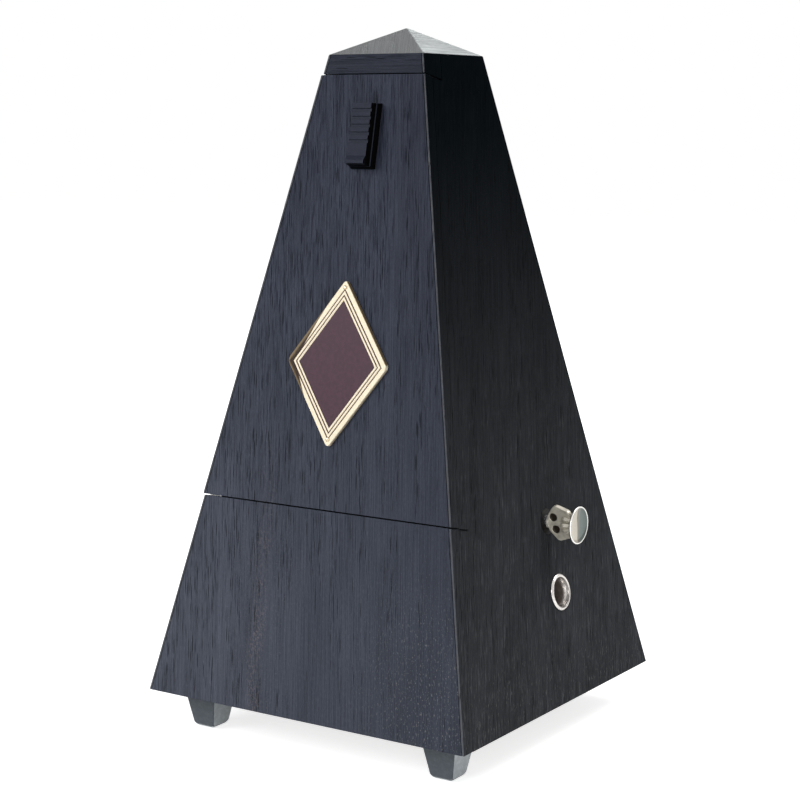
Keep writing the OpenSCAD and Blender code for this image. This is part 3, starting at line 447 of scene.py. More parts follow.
FRONT_LEAN, SIDE_LEAN = -0.128, 0.3
# Each board's low colour, at the underside, is lighter than its high colour at the top: painted light, for
# the floor's bounce and the soft boxes' fall
front_oak = stained_oak("front_oak", "X", "Z", seed=2.0, low=(0.045, 0.051, 0.068),
                        high=(0.025, 0.0295, 0.046), pores=0.13, gloss=0.06, rough=0.46, lean=FRONT_LEAN,
                        open_corner=0.11, marks=front_marks)
rail_oak = stained_oak("rail_oak", "Z", "X", seed=29.0, low=(0.042, 0.047, 0.062),
                       high=(0.0160, 0.0190, 0.0295), pores=0.0, gloss=0.06, rough=0.46, cut=0.35)
# The lippings are painted paler than the boards: partly wear, partly a painted highlight where the arrises
# catch the light
lipping_oak = stained_oak("lipping_oak", "X", "Z", seed=9.0, low=(0.070, 0.075, 0.088),
                          high=(0.036, 0.040, 0.050), pores=0.05, gloss=0.12, rough=0.4,
                          marks=lipping_marks)
side_oak = stained_oak("side_oak", "Y", "Z", seed=5.0, low=(0.035, 0.037, 0.041),
                       high=(0.0008, 0.0020, 0.0030), pores=-0.02, gloss=0.003, rough=0.5, lean=SIDE_LEAN,
                       cut=0.75, marks=side_marks)

PANEL_PLACE = (0, PANEL_THICK), (BLANK_START, PANEL_END)
lower_front = front_board("lower_front", *PANEL_PLACE, side_planes(LIPPING) + (UNDER,))
hand_over(lower_front, front_oak, "body", "front_wood", "front_panel")
lower_lippings = lippings("lower_lippings", *PANEL_PLACE, 0, (UNDER,))
hand_over(lower_lippings, lipping_oak, "body", "front_wood", on_sides=side_oak)

RAIL_PLACE = (0, RAIL_THICK), (RAIL_START, BLANK_END)
rail_front = front_board("rail_front", *RAIL_PLACE, side_planes(LIPPING) + (OVER,))
hand_over(rail_front, rail_oak, "body", "front_wood", "head_rail")
rail_lippings = lippings("rail_lippings", *RAIL_PLACE, 0, (OVER,))
hand_over(rail_lippings, lipping_oak, "body", "front_wood", on_sides=side_oak)

# ---- Shade strip -----------------------------------------------------------------
# A strip of black card, glued behind the lower front, stands up behind the joint under the
# cover: a black sheet that puts painted shade into the joint.
STRIP_HALF, STRIP_THICK = 37, 0.2
STRIP_START, STRIP_END = 58, 66
STRIP_ENDS = tuple((way * STRIP_HALF * MM, way) for way in (Vector((1, 0, 0)), Vector((-1, 0, 0))))
strip = front_board("seam_shade_strip", (PANEL_THICK, PANEL_THICK + STRIP_THICK), (STRIP_START, STRIP_END),
                    STRIP_ENDS, softness=0)
black_shade_card = new_material("black_shade_card")
fibre = noise(black_shade_card, in_millimetres(black_shade_card), 4.0, 2.0)
feed(black_shade_card, Base_Color=blend(black_shade_card, fibre, (0.002, 0.002, 0.002), (0.008, 0.008, 0.009)),
     Roughness=0.9, Normal=relief(black_shade_card, fibre, 0.0001), Specular_IOR_Level=0.05)
hand_over(strip, black_shade_card, "body", None)

# ---- Side boards, back board and pointed top -----------------------------------
# Two side boards and a back board, stained nearly black, are glued to the front boards
# at the arrises. The top is one flat pyramid, glued on with a plug between the boards.


def eased_copy(node, name, softness):
    """A copy of a sawn part from the frame, welded, with its edges eased."""
    piece = bpy.data.objects.new(name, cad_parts[node].data.copy())
    scene.collection.objects.link(piece)
    bpy.context.view_layer.objects.active = piece
    piece.select_set(True)
    bpy.ops.object.mode_set(mode="EDIT")
    bpy.ops.mesh.select_all(action="SELECT")
    bpy.ops.mesh.remove_doubles(threshold=0.002 * MM)
    bpy.ops.mesh.dissolve_limited(angle_limit=math.radians(0.3))
    bpy.ops.object.mode_set(mode="OBJECT")
    ease(softness)
    return piece


# The back board's low colour is much lighter than its high colour: painted light from the floor below
back_oak = stained_oak("back_oak", "X", "Z", seed=13.0, low=(0.044, 0.047, 0.052),
                       high=(0.0055, 0.0066, 0.0080), pores=0.1, gloss=0.02, rough=0.5)
cap_oak = stained_oak("cap_oak", "X", "Y", seed=17.0, low=(0.038, 0.043, 0.046),
                      high=(0.038, 0.043, 0.046), pores=-0.05, gloss=0.5, rough=0.33, cut=0.3)
hand_over(eased_copy("left_panel", "left_side", 0.25), side_oak, "body", "side_wood", "left_panel")
hand_over(eased_copy("right_panel", "right_side", 0.25), side_oak, "body", "side_wood", "right_panel")
hand_over(eased_copy("back_panel", "back_board", 0.25), back_oak, "body", "side_wood", "back_panel")
hand_over(eased_copy("top_cap", "pointed_top", 0.3), cap_oak, "body", "side_wood", "top_cap")

# ---- Bottom board and corner blocks ---------------------------------------------
# A plain board closes the body from below. Four glued blocks hold it in the corners, and
# inside the oak was left brown under a thin brush of stain.
inner_oak = stained_oak("inner_oak", "Y", "X", seed=23.0, low=(0.070, 0.052, 0.036),
                        high=(0.09, 0.066, 0.044), pores=0.1, gloss=0.25, rough=0.6)
hand_over(eased_copy("base_board", "bottom_board", 0.3), inner_oak, "body", "inner_wood", "base_board")
hand_over(eased_copy("corner_blocks", "glue_blocks", 0.4), inner_oak, "body", "inner_wood", "corner_blocks")

# ---- Feet ------------------------------------------------------------------------
# Three square feet, tapering to the floor and painted slate black, stand at the two front
# corners and in the middle of the back. A screw holds each from below.
FOOT_PITCH = 44.9
FOOT_TOP, FOOT_ANKLE, FOOT_SOLE = 12.4, 8.0, 6.0
SOLE_THICK = 1
SCREW_HEAD, SCREW_SINK = 4.6, 2


def pick(piece, kind, fits):
    """Goes into edit mode with just the faces, edges or points selected that fit."""
    bpy.ops.object.mode_set(mode="EDIT")
    bpy.ops.mesh.select_mode(type=kind)
    bpy.ops.mesh.select_all(action="DESELECT")
    bpy.ops.object.mode_set(mode="OBJECT")
    parts = {"FACE": piece.data.polygons, "EDGE": piece.data.edges, "VERT": piece.data.vertices}[kind]
    for part in parts:
        part.select = bool(fits(part))
    bpy.ops.object.mode_set(mode="EDIT")


def faces_up(face):
    """Says whether a face looks straight up."""
    return face.normal.z > 0.9


def faces_down(face):
    """Says whether a face looks straight down."""
    return face.normal.z < -0.9


def draw_out(x, y, z):
    """Extrudes what is selected, by millimetres."""
    bpy.ops.mesh.extrude_region_move(TRANSFORM_OT_translate={"value": (x * MM, y * MM, z * MM)})


def drill_with(bit, piece):
    """Cuts the bit's shape out of the piece."""
    bpy.ops.object.select_all(action="DESELECT")
    piece.select_set(True)
    bpy.context.view_layer.objects.active = piece
    apply("BOOLEAN", operation="DIFFERENCE", object=bit, solver="EXACT")
    bpy.data.objects.remove(bit)


def foot(x, y):
    """One tapering foot with its countersunk screw hole."""
    middle = Vector((x, y, (UNDERSIDE + SOLE_THICK) / 2)) * MM
    bpy.ops.mesh.primitive_cube_add(size=1, location=middle,
                                    scale=(FOOT_TOP * MM, FOOT_TOP * MM, (UNDERSIDE - SOLE_THICK) * MM))
    piece = settle()
    pick(piece, "FACE", faces_down)
    centre = Vector((x, y, SOLE_THICK)) * MM
    ankle, sole = FOOT_ANKLE / FOOT_TOP, FOOT_SOLE / FOOT_ANKLE
    bpy.ops.transform.resize(value=(ankle, ankle, 1), center_override=centre)
    draw_out(0, 0, -SOLE_THICK)
    bpy.ops.transform.resize(value=(sole, sole, 1), center_override=centre)
    bpy.ops.object.mode_set(mode="OBJECT")
    ease(0.5, segments=3, angle=8)
    bpy.ops.mesh.primitive_cylinder_add(vertices=32, radius=SCREW_HEAD / 2 * MM, depth=2 * SCREW_SINK * MM,
                                        location=(x * MM, y * MM, 0))
    drill_with(settle(), piece)
    return piece


def painted(name, colour, worn, rough, gloss, grain_size=0.5):
    """Brushed or sprayed paint with a faint orange-peel skin and rubbed patches."""
    material = new_material(name)
    here = in_millimetres(material)
    patches = ramp(material, noise(material, here, 0.35 / grain_size, 5.0, 0.65), 0.42, 0.72)
    skin = noise(material, here, 2.2 / grain_size, 3.0)
    feed(material, Base_Color=blend(material, patches, colour, worn),
         Roughness=ramp(material, skin, 0.3, 0.7, rough - 0.05, rough + 0.08),
         Normal=relief(material, skin, 0.00005), Specular_IOR_Level=gloss)
    return material


foot_paint = painted("foot_paint", (0.075, 0.088, 0.102), (0.10, 0.115, 0.13), rough=0.4, gloss=0.2)
# Painted light: the feet's faces that look left, right or down are a much lighter copy of their paint, for
# the bright floor and light from the right
foot_sides_painted_light = painted("foot_sides_painted_light", (0.34, 0.38, 0.40), (0.46, 0.50, 0.53), rough=0.35, gloss=0.4)
feet = join("tapered_feet", [foot(-FOOT_PITCH, -FOOT_PITCH), foot(FOOT_PITCH, -FOOT_PITCH),
                             foot(0, FOOT_PITCH)])
smooth()
hand_over(feet, foot_paint, "body", "foot_black", "foot", on_sides=foot_sides_painted_light)

# ---- Cover -------------------------------------------------------------------------
# The lift-off cover is one oak board with lippings, as the lower front, on two cheeks and
# a rail that reach back between the sides. It stands a hair proud of the body.
PROUD = 0.4
COVER_THICK = 3.6
LATCH_ASIDE = 0.7
MORTISE_WIDTH, MORTISE_START, MORTISE_END = 4.4, 171.9, 183.6
MORTISE_DEPTH = (-4, 8)
COVER_PLACE = (-PROUD, COVER_THICK), (COVER_START, COVER_END)
cover_front = front_board("cover_front", *COVER_PLACE, side_planes(LIPPING - PROUD), softness=0)
# The mortise for the latch's stem goes right through
mortise = slab(MORTISE_WIDTH, MORTISE_DEPTH, (MORTISE_START, MORTISE_END), x=LATCH_ASIDE)
drill_with(mortise, cover_front)
ease(0.14)
hand_over(cover_front, front_oak, "cover", "front_wood", "cover_board")
cover_lippings = lippings("cover_lippings", *COVER_PLACE, PROUD)
hand_over(cover_lippings, lipping_oak, "cover", "front_wood", on_sides=side_oak)
for hand in ("left", "right"):
    cheek = eased_copy(f"cover_{hand}_cheek", f"{hand}_cheek", 0.08)
    hand_over(cheek, side_oak, "cover", "side_wood", f"cover_{hand}_cheek")
hand_over(eased_copy("cover_rail", "upper_rail", 0.3), inner_oak, "cover", "inner_wood", "cover_rail")

# ---- Badge ---------------------------------------------------------------------------
# A lozenge of pressed brass with a cream rim, two fine cream lines on a plum ground, and
# a bare middle. A small round-headed nail holds it at its upper and its lower tip.
BADGE_RISE = 108.86
BADGE_ACROSS, BADGE_ALONG, BADGE_THICK = 18.5, 25.9, 1.2
BADGE_INRADIUS = 15.05
BADGE_ROUND = 1.5
# From its edge inwards: how wide each step is, how far it rises, both in millimetres
BADGE_STEPS = ((0.03, 0.12), (0.06, 0.08), (0.1, 0.04), (1.39, 0), (0.06, -0.09), (0.28, 0), (0.06, 0.09),
               (0.66, 0), (0.06, -0.09), (0.28, 0), (0.06, 0.09), (0.5, 0), (0.07, -0.12))
BADGE_CROWN = sum(step[1] for step in BADGE_STEPS[:3])


def lay_on_front(depth, rise, x=0):
    """Turns the selected flat piece to lie along the front, its top face outwards."""
    bpy.context.object.rotation_euler = (math.radians(90) - LEAN, 0, 0)
    bpy.context.object.location = on_front(x, depth, rise)
    return settle()


bpy.ops.mesh.primitive_cylinder_add(vertices=4, radius=1, depth=1)
bpy.context.object.scale = (BADGE_ACROSS * MM, BADGE_ALONG * MM, (BADGE_THICK - BADGE_CROWN) * MM)
bpy.context.object.location = (0, 0, -BADGE_CROWN / 2 * MM)
badge = settle()
badge.name = "lozenge_badge"


def upright(edge):
    """Says whether an edge of the badge goes through its thickness."""
    ends = [badge.data.vertices[i].co for i in edge.vertices]
    return abs(ends[0].z - ends[1].z) > 0.5 * BADGE_THICK * MM


pick(badge, "EDGE", upright)
bpy.ops.mesh.bevel(offset=BADGE_ROUND * MM, segments=6)
bpy.ops.object.mode_set(mode="OBJECT")
pick(badge, "FACE", faces_up)
inward = BADGE_INRADIUS
for width, rise in BADGE_STEPS:
    draw_out(0, 0, rise)
    shrink = (inward - width) / inward
    bpy.ops.transform.resize(value=(shrink, shrink, 1), center_override=(0, 0, 0))
    inward -= width
bpy.ops.object.mode_set(mode="OBJECT")
lay_on_front(-PROUD - BADGE_THICK / 2, BADGE_RISE)
smooth(40)


def badge_face():
    """Cream, fine lines and plum by the distance from the lozenge's edge. The lacquer is worn to
    brown metal where the left corner is bent back."""
    material = new_material("badge_face")
    here = in_millimetres(material)
    axes = parts_of(material, here)
    centre = on_front(0, -PROUD, BADGE_RISE).z / MM
    across = sums(material, "DIVIDE", unsigned(material, axes["X"]), BADGE_ACROSS)
    above = unsigned(material, sums(material, "SUBTRACT", axes["Z"], centre))
    above = sums(material, "DIVIDE", above, COS * BADGE_ALONG)
    inward = sums(material, "SUBTRACT", 1, sums(material, "ADD", across, above))
    inward = sums(material, "MULTIPLY", inward, BADGE_INRADIUS)

    mottle = noise(material, here, 0.8, 4.0, 0.6)
    cream = blend(material, ramp(material, mottle, 0.35, 0.7), (0.92, 0.82, 0.63), (0.86, 0.75, 0.55))
    plum = blend(material, ramp(material, mottle, 0.3, 0.7), (0.060, 0.030, 0.041), (0.076, 0.040, 0.053))
    line = (0.085, 0.045, 0.04)
    colour = cream
    # Where each colour starts, in millimetres from the edge
    for start, laid in ((1.58, line), (1.98, cream), (2.64, line), (3.04, cream), (3.66, plum)):
        colour = blend(material, ramp(material, inward, start - 0.04, start + 0.04), colour, laid)

    # Bare metal reaches 2 mm in from the edge at the left corner, and less towards both tips
    reach = sums(material, "MINIMUM", ramp(material, axes["X"], -16, -5, 1.98, 0.1),
                 ramp(material, axes["Z"], centre - 13, centre - 1, 0.1, 1.98))
    bent = ramp(material, sums(material, "SUBTRACT", inward, reach), 0.1, -0.15)
    worn = sums(material, "ADD", ramp(material, inward, 1.1, 0.2), sums(material, "SUBTRACT", mottle, 0.5))
    bronze = blend(material, worn, (0.028, 0.016, 0.008), (0.20, 0.145, 0.080))
    feed(material, Base_Color=blend(material, bent, colour, bronze),
         Roughness=ramp(material, mottle, 0.3, 0.7, 0.34, 0.46),
         Normal=relief(material, mottle, 0.00003), Specular_IOR_Level=0.1)
    return material


hand_over(badge, badge_face(), "cover", "badge_face", "badge")


def stretched(owner, vector, scale):
    """Draws a pattern out along some of its axes."""
    return put(owner, "Mapping", {"Vector": vector, "Scale": scale}).outputs["Vector"]


def metal(name, colour, dull, rough, scratches=1.0, stretch=(1, 1, 1)):
    """Bare metal with a drawn or brushed grain and a little tarnish."""
    material = new_material(name)
    here = in_millimetres(material)
    tarnish = ramp(material, noise(material, here, 0.18, 4.0, 0.6), 0.38, 0.72)
    grain = noise(material, stretched(material, here, stretch), 3.0, 3.0, 0.6)
    feed(material, Base_Color=blend(material, tarnish, colour, dull), Metallic=1.0,
         Roughness=ramp(material, grain, 0.3, 0.7, rough - 0.06, rough + 0.08),
         Normal=relief(material, grain, 0.00002 * scratches, 0.5))
    return material


NAIL_FLANGE, NAIL_SHANK, NAIL_LENGTH = 0.7, 0.4, 3
NAIL_INSET = 2.7
# From the flange inwards: how wide each step is, how far it rises, both in millimetres
NAIL_STEPS = ((0.04, 0.1), (0.12, 0.14), (0.16, 0.1), (0.2, 0.04))
nail_metal = metal("cream_metal", (0.62, 0.52, 0.38), (0.42, 0.32, 0.2), rough=0.3)


def badge_nail(rise):
    """A round head with a narrow flange, and its shank."""
    bpy.ops.mesh.primitive_cylinder_add(vertices=24, radius=NAIL_FLANGE * MM, depth=0.2 * MM,
                                        location=(0, 0, 0.1 * MM))
    nail = bpy.context.object
    pick(nail, "FACE", faces_up)
    for width, height in NAIL_STEPS:
        bpy.ops.mesh.inset(thickness=width * MM, depth=height * MM)
    bpy.ops.object.mode_set(mode="OBJECT")
    pick(nail, "FACE", faces_down)
    bpy.ops.mesh.inset(thickness=(NAIL_FLANGE - NAIL_SHANK) * MM)
    draw_out(0, 0, -NAIL_LENGTH)
    bpy.ops.object.mode_set(mode="OBJECT")
    smooth(40)
    return lay_on_front(-PROUD - BADGE_THICK, rise)


nails = join("badge_nails", [badge_nail(BADGE_RISE - BADGE_ALONG + NAIL_INSET),
                             badge_nail(BADGE_RISE + BADGE_ALONG - NAIL_INSET)])
hand_over(nails, nail_metal, "cover", "cream_metal", "badge_nail")

# ---- Latch ------------------------------------------------------------------------------
# A moulded black housing carries a sliding thumb button with ribs and a lip. Its stem goes
# through the cover to a spring-steel plate that hooks round the stud on the scale board.
latch_black = painted("latch_black", (0.016, 0.019, 0.030), (0.021, 0.025, 0.039), rough=0.4, gloss=0.05,
                      grain_size=0.3)
# Painted shade: the latch's faces that look left, right or down are a near-black copy of its paint
latch_sides_painted_shade = painted("latch_sides_painted_shade", (0.0012, 0.0012, 0.0014), (0.003, 0.003, 0.0035), rough=0.5, gloss=0.02,
                      grain_size=0.3)


def to_the_right(piece):
    """Sets a piece of the latch a little off the middle, where it is fitted."""
    bpy.context.view_layer.objects.active = piece
    piece.location.x = LATCH_ASIDE * MM
    return settle()


housing = to_the_right(eased_copy("latch_housing", "latch_base", 0.22))
hand_over(housing, latch_black, "cover", "latch_black", "latch_housing", on_sides=latch_sides_painted_shade)
thumb_button = to_the_right(eased_copy("latch_button", "thumb_button", 0.16))
hand_over(thumb_button, latch_black, "latch", "latch_black", "latch_button", on_sides=latch_sides_painted_shade)

# ---- Winding key ---------------------------------------------------------------------------
# The key is nickelled: a blade with two finger holes, a fluted hub and a dished button with
# a rolled rim, on a steel arbor that comes out of the right side through a brass bush, painted nearly black
# as painted shade.
KEY_Y, KEY_Z, KEY_FACE = 9.2, 68.2, 47.43
# Corners of the blade: out from the side board and up from the arbor
BLADE = ((0.4, 2.2), (3.2, 6.1), (8.6, 4.3), (8.6, -4.3), (4.0, -6.1), (0.4, -2.2))
BLADE_THICK, BLADE_TURN = 1.7, 13
BLADE_ROUND = 1.1
HOLES, HOLE_RADIUS, HOLE_ASIDE = ((2.7, 2.0), (3.3, -2.0)), 1.3, 1.1
# Turned pieces: out from the side board, and the radius there
HUB = ((6.0, 0.3), (6.0, 2.4), (6.5, 3.1), (7.4, 3.3), (8.6, 2.6), (9.6, 2.3), (9.6, 0.3))
STEM = ((0.3, 0.2), (0.3, 1.1), (6.2, 1.1), (6.2, 0.2))
BUTTON = ((10.3, 0), (10.3, 4.8), (10.5, 5.5), (10.8, 5.85), (11.1, 5.95), (11.3, 5.85), (11.35, 5.65),
          (11.25, 5.45), (11.05, 5.2), (10.85, 4.4), (10.75, 2.5), (10.72, 0))
FLUTES, FLUTE_POINTS, FLUTE_WAIST = 9, 4, 0.72


def on_key(out, y=0.0, up=0.0):
    """A place by the key's arbor in millimetres: out from the side board, back and up."""
    return Vector((KEY_FACE + out, KEY_Y + y, KEY_Z + up)) * MM


def outline(points, edges, faces):
    """Goes into edit mode with a new piece that is only an outline, all of it selected."""
    bpy.ops.mesh.primitive_circle_add(vertices=3, radius=MM)
    piece = bpy.context.object
    bpy.ops.object.mode_set(mode="EDIT")
    bpy.ops.mesh.select_all(action="SELECT")
    bpy.ops.mesh.delete(type="VERT")
    bpy.ops.object.mode_set(mode="OBJECT")
    piece.data.from_pydata(points, edges, faces)
    bpy.ops.object.mode_set(mode="EDIT")
    bpy.ops.mesh.select_all(action="SELECT")
    return piece


def turned(name, profile, steps=48):
    """A turned piece on the key's axis, from its profile of distance out and radius."""
    points = [on_key(out, 0, radius) for out, radius in profile]
    piece = outline(points, [(i, i + 1) for i in range(len(points) - 1)], [])
    piece.name = name
    bpy.ops.mesh.spin(steps=steps, angle=math.tau, center=on_key(0), axis=(1, 0, 0))
    bpy.ops.mesh.select_all(action="SELECT")
    bpy.ops.mesh.remove_doubles(threshold=0.005 * MM)
    bpy.ops.mesh.normals_make_consistent(inside=False)
    bpy.ops.object.mode_set(mode="OBJECT")
    return piece


blade = outline([on_key(out, -BLADE_THICK / 2, up) for out, up in BLADE], [], [range(len(BLADE))])
bpy.ops.mesh.bevel(offset=BLADE_ROUND * MM, segments=5, affect="VERTICES")
bpy.ops.mesh.select_all(action="SELECT")
draw_out(0, BLADE_THICK, 0)
bpy.ops.mesh.select_all(action="SELECT")
bpy.ops.mesh.normals_make_consistent(inside=False)
bpy.ops.object.mode_set(mode="OBJECT")
# Each finger hole is sunk from both faces and leaves a thin web between them
for out, up in HOLES:
    for face in (-1, 1):
        bpy.ops.mesh.primitive_cylinder_add(vertices=28, radius=HOLE_RADIUS * MM, depth=BLADE_THICK * MM,
                                            rotation=(math.radians(90), 0, 0),
                                            location=on_key(out, face * HOLE_ASIDE, up))
        drill_with(settle(), blade)
ease(0.42, segments=3)
blade.data.transform(Matrix.Translation(on_key(0)) @ Matrix.Rotation(math.radians(BLADE_TURN), 4, "X")
                     @ Matrix.Translation(-on_key(0)))


def in_flute(point):
    """Says whether a point of the hub lies at the bottom of a flute."""
    angle = math.atan2(point.co.z - KEY_Z * MM, point.co.y - KEY_Y * MM)
    return round(angle / math.tau * FLUTE_POINTS * FLUTES) % FLUTE_POINTS == 0


hub = turned("hub", HUB, FLUTE_POINTS * FLUTES)
pick(hub, "VERT", in_flute)
bpy.ops.transform.resize(value=(1, FLUTE_WAIST, FLUTE_WAIST), center_override=on_key(0))
bpy.ops.object.mode_set(mode="OBJECT")
smooth(50)
stem = turned("stem", STEM)
smooth(40)
key_blade = join("winding_key_blade", [blade, hub, stem])


def blade_nickel():
    """Satin nickel, painted dark brown inside the two finger holes as painted shade."""
    material = new_material("satin_nickel")
    here = in_millimetres(material)
    tarnish = ramp(material, noise(material, here, 0.5, 4.0, 0.6), 0.4, 0.7)
    colour = blend(material, tarnish, (0.70, 0.66, 0.56), (0.52, 0.49, 0.41))
    turn = math.radians(BLADE_TURN)
    along = put(material, "VectorMath", {0: here, 1: (0, -math.sin(turn), math.cos(turn))},
                operation="DOT_PRODUCT").outputs["Value"]
    place = put(material, "CombineXYZ", {0: parts_of(material, here)["X"], 1: along}).outputs[0]
    for hole_out, hole_up in HOLES:
        middle = (KEY_FACE + hole_out, hole_up - KEY_Y * math.sin(turn) + KEY_Z * math.cos(turn), 0)
        apart = put(material, "VectorMath", {0: place, 1: middle}, operation="DISTANCE").outputs["Value"]
        # Painted shade: the insides of the two finger holes are painted dark brown
        hole_shade = ramp(material, apart, HOLE_RADIUS + 0.12, HOLE_RADIUS)
        colour = blend(material, hole_shade, colour, (0.030, 0.021, 0.014))
    feed(material, Base_Color=colour, Metallic=0.25, Roughness=0.34,
         Normal=relief(material, tarnish, 0.00002))
    return material


hand_over(key_blade, blade_nickel(), "winding", "nickel", "winding_key")
button = turned("key_button", BUTTON)
smooth(60)


def from_axis(owner, y, z):
    """How far a place is from an axis that runs from left to right."""
    return length_of(owner, put(owner, "CombineXYZ", {1: y, 2: z}).outputs[0])


def button_nickel():
    """Bright nickel on the rolled rim; the dish is painted darker with a painted reflection: cream to the
    left, a dark band, and dark teal to the right.
    """
    material = new_material("button_nickel")
    here = in_millimetres(material, centre=(0, KEY_Y, KEY_Z))
    axes = parts_of(material, here)
    dish = ramp(material, from_axis(material, axes["Y"], axes["Z"]), 5.7, 5.35)
    cloud = noise(material, stretched(material, here, (1, 0.5, 0.25)), 1.0, 3.0)
    across = sums(material, "ADD", axes["Y"], sums(material, "MULTIPLY", cloud, 1.6))
    # Painted reflection in the dish: cream on the left, a dark band, dark teal on the right
    dish_painted_reflection = blend(material, ramp(material, across, -0.4, 2.2), (0.36, 0.33, 0.28), (0.10, 0.118, 0.113))
    painted_dark_band = sums(material, "MULTIPLY", ramp(material, across, 0.2, 0.9, 0.0, 0.7),
                ramp(material, across, 1.6, 0.9))
    dish_painted_reflection = blend(material, painted_dark_band, dish_painted_reflection, (0.07, 0.055, 0.045))
    feed(material, Base_Color=blend(material, dish, (0.80, 0.78, 0.74), dish_painted_reflection), Metallic=1.0,
         Roughness=ramp(material, cloud, 0.3, 0.7, 0.14, 0.24), Normal=relief(material, cloud, 0.00002))
    return material


hand_over(button, button_nickel(), "winding", "nickel", "key_knob")
# Painted shade: the brass bush is painted nearly black, for the shadow beside the key's base
bush_painted_shade = metal("bush_brass_painted_shade", (0.012, 0.011, 0.010), (0.006, 0.006, 0.006), rough=0.5)
hand_over(eased_copy("key_bush", "key_bushing", 0.1), bush_painted_shade, "body", "brass", "key_bush")

# ---- Bell pull's eyelet ----------------------------------------------------------------------
# Below the key a nickelled eyelet, rolled over round its hole, guides the steel rod that is
# pulled out or pushed in to choose the bell's beat.
EYELET_Y, EYELET_Z = 9.7, 45.9


def eyelet_nickel():
    """Nickel with painted shade: a dark line where the eyelet's rim is rolled over, and a brown throat."""
    material = new_material("eyelet_nickel")
    here = in_millimetres(material, centre=(0, EYELET_Y, EYELET_Z))
    axes = parts_of(material, here)
    radius = from_axis(material, axes["Y"], sums(material, "DIVIDE", axes["Z"], COS))
    # Painted shade in the crease where the rim is rolled over
    roll = sums(material, "MULTIPLY", ramp(material, radius, 4.45, 4.6), ramp(material, radius, 4.95, 4.75))
    grain = noise(material, here, 1.2, 3.0, 0.6)
    silver = blend(material, ramp(material, grain, 0.35, 0.7), (0.66, 0.63, 0.60), (0.50, 0.47, 0.45))
    silver = blend(material, sums(material, "MULTIPLY", roll, 0.8), silver, (0.10, 0.09, 0.085))
    out = sums(material, "ADD", axes["X"], sums(material, "MULTIPLY", axes["Z"], math.tan(LEAN)))
    # Painted shade: inside the throat the nickel is painted dull brown
    bright = ramp(material, out, 50.4, 51.4)
    feed(material, Base_Color=blend(material, bright, (0.11, 0.088, 0.078), silver), Metallic=bright,
         Roughness=ramp(material, grain, 0.3, 0.7, 0.18, 0.3))
    return material


hand_over(eased_copy("side_eyelet", "rolled_eyelet", 0.12), eyelet_nickel(), "body", "nickel", "side_eyelet")

# ---- Scale ------------------------------------------------------------------------------------
# A pale board fills the opening behind the cover and carries a silvered scale plate with
# the usual row of tempo numbers on both sides of the pendulum rod.
TEMPI = (40, 42, 44, 46, 48, 50, 52, 54, 56, 58, 60, 63, 66, 69, 72, 76, 80, 84, 88, 92, 96, 100, 104, 108,
         112, 116, 120, 126, 132, 138, 144, 152, 160, 168, 176, 184, 192, 200, 208)
SCALE_LOW, SCALE_HIGH, SCALE_DEPTH = 72.33, 176.6, 9.8
SCALE_MARGIN = 5
TEMPO_STEP = (SCALE_HIGH - SCALE_LOW - 2 * SCALE_MARGIN) / (len(TEMPI) - 1)
NUMBER_ASIDE, NUMBER_SIZE = 8.6, 3.6
TICK_ASIDE, TICK_LENGTH, TICK_WIDTH = 4.1, 2.2, 0.22
INK_THICK, INK_SINK = 0.06, 0.02
scale_paint = painted("scale_board_paint", (0.58, 0.54, 0.44), (0.50, 0.45, 0.36), rough=0.5, gloss=0.4,
                      grain_size=2.0)
hand_over(eased_copy("scale_board", "scale_backing", 0.25), scale_paint, "body", "scale_wood", "scale_board")
scale_metal = metal("scale_metal", (0.60, 0.58, 0.53), (0.50, 0.48, 0.43), rough=0.42, stretch=(0.2, 1, 6))
hand_over(eased_copy("scale_plate", "tempo_plate", 0.1), scale_metal, "body", "scale_metal", "scale_plate")

tempo_marks = []
for count, tempo in enumerate(TEMPI):
    rise = SCALE_HIGH - SCALE_MARGIN - count * TEMPO_STEP
    side = -1 if count % 2 == 0 else 1
    bpy.ops.object.text_add()
    number = bpy.context.object.data
    number.body = str(tempo)
    number.align_x = "CENTER"
    number.align_y = "CENTER"
    number.size = NUMBER_SIZE * MM
    number.extrude = INK_THICK / 2 * MM
    number.resolution_u = 3
    bpy.ops.object.convert(target="MESH")
    tempo_marks.append(lay_on_front(SCALE_DEPTH - INK_SINK, rise, side * NUMBER_ASIDE))
    bpy.ops.mesh.primitive_cube_add(size=1, scale=(TICK_LENGTH * MM, TICK_WIDTH * MM, INK_THICK * MM))
    bpy.ops.object.mode_set(mode="EDIT")
    bpy.ops.mesh.bevel(offset=0.008 * MM)
    bpy.ops.object.mode_set(mode="OBJECT")
    tempo_marks.append(lay_on_front(SCALE_DEPTH - INK_SINK, rise, side * TICK_ASIDE))
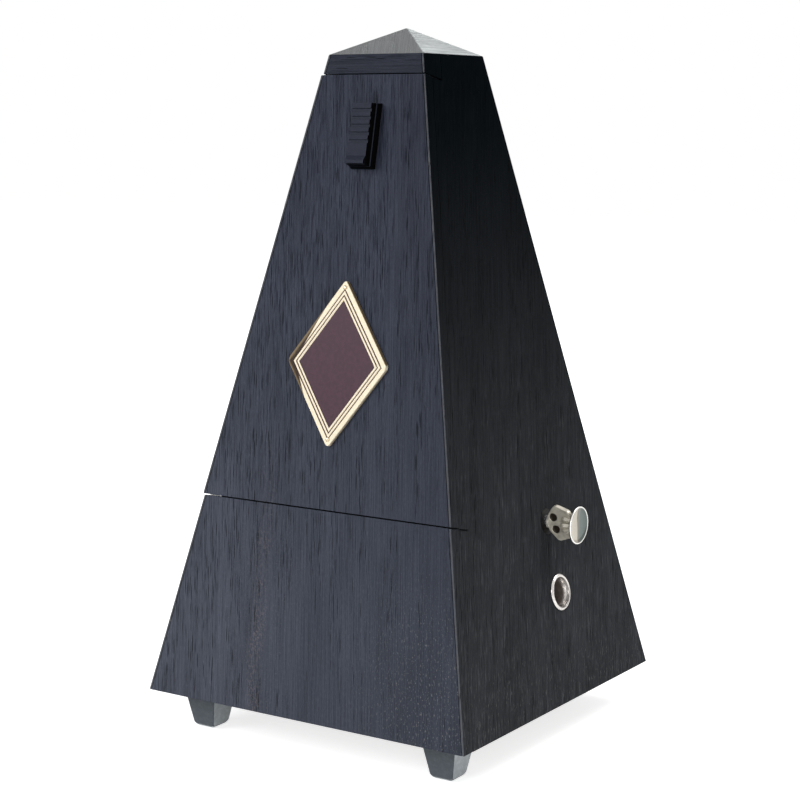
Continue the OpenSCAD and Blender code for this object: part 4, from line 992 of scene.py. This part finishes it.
scale_ink = painted("scale_ink", (0.012, 0.012, 0.014), (0.03, 0.03, 0.032), rough=0.5, gloss=0.3,
                    grain_size=0.3)
hand_over(join("tempo_marks", tempo_marks), scale_ink, "body", None)

# ---- Pendulum -----------------------------------------------------------------------------------
# The flat steel rod swings in front of the scale on the verge. A brass weight slides on it
# against a spring, and a turned iron weight hangs below the pivot.
steel = metal("steel", (0.52, 0.53, 0.55), (0.34, 0.35, 0.37), rough=0.26, stretch=(1, 1, 0.1))
brass = metal("brass", (0.68, 0.46, 0.17), (0.50, 0.32, 0.11), rough=0.28, stretch=(1, 0.2, 1))
iron = metal("iron", (0.16, 0.165, 0.175), (0.09, 0.09, 0.095), rough=0.42, scratches=1.5)
hand_over(eased_copy("sliding_weight", "tempo_weight", 0.3), brass, "weight", "brass", "sliding_weight")
hand_over(eased_copy("counterweight", "bob", 0.3), iron, "pendulum", "iron", "counterweight")
hand_over(eased_copy("pendulum_rod", "flat_rod", 0.08), steel, "pendulum", "steel", "pendulum_rod")

# ---- Clockwork -----------------------------------------------------------------------------------
# Two brass plates on pillars hold the spring barrel, the second wheel and the crown wheel.
# Arbors, screws and the click are steel, the springs are blued, and the bell is bell metal.
blued_spring = metal("blued_spring", (0.07, 0.10, 0.22), (0.10, 0.09, 0.14), rough=0.25)
bell_metal = metal("bell_metal", (0.66, 0.55, 0.33), (0.55, 0.43, 0.24), rough=0.22)
FINISHES = {
    brass: ("scale_pin", "left_plate", "right_plate", "pillar", "verge_bar", "verge_cock", "crown_cock",
            "cover_tongue", "barrel", "great_wheel", "bell_cams", "second_wheel", "crown_wheel"),
    steel: ("foot_screw", "rod_clip", "catch_stud", "pillar_screw", "click_screw", "bell_post",
            "winding_arbor", "ratchet_wheel", "click", "second_arbor", "crown_arbor", "verge", "bell_pull",
            "catch_plate", "bell_hammer"),
    iron: ("plate_bracket", "bracket_screw"),
    blued_spring: ("click_spring", "mainspring"),
    bell_metal: ("bell",),
}
for finish, parts in FINISHES.items():
    for part in parts:
        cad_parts[part].data.materials.clear()
        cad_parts[part].data.materials.append(finish)
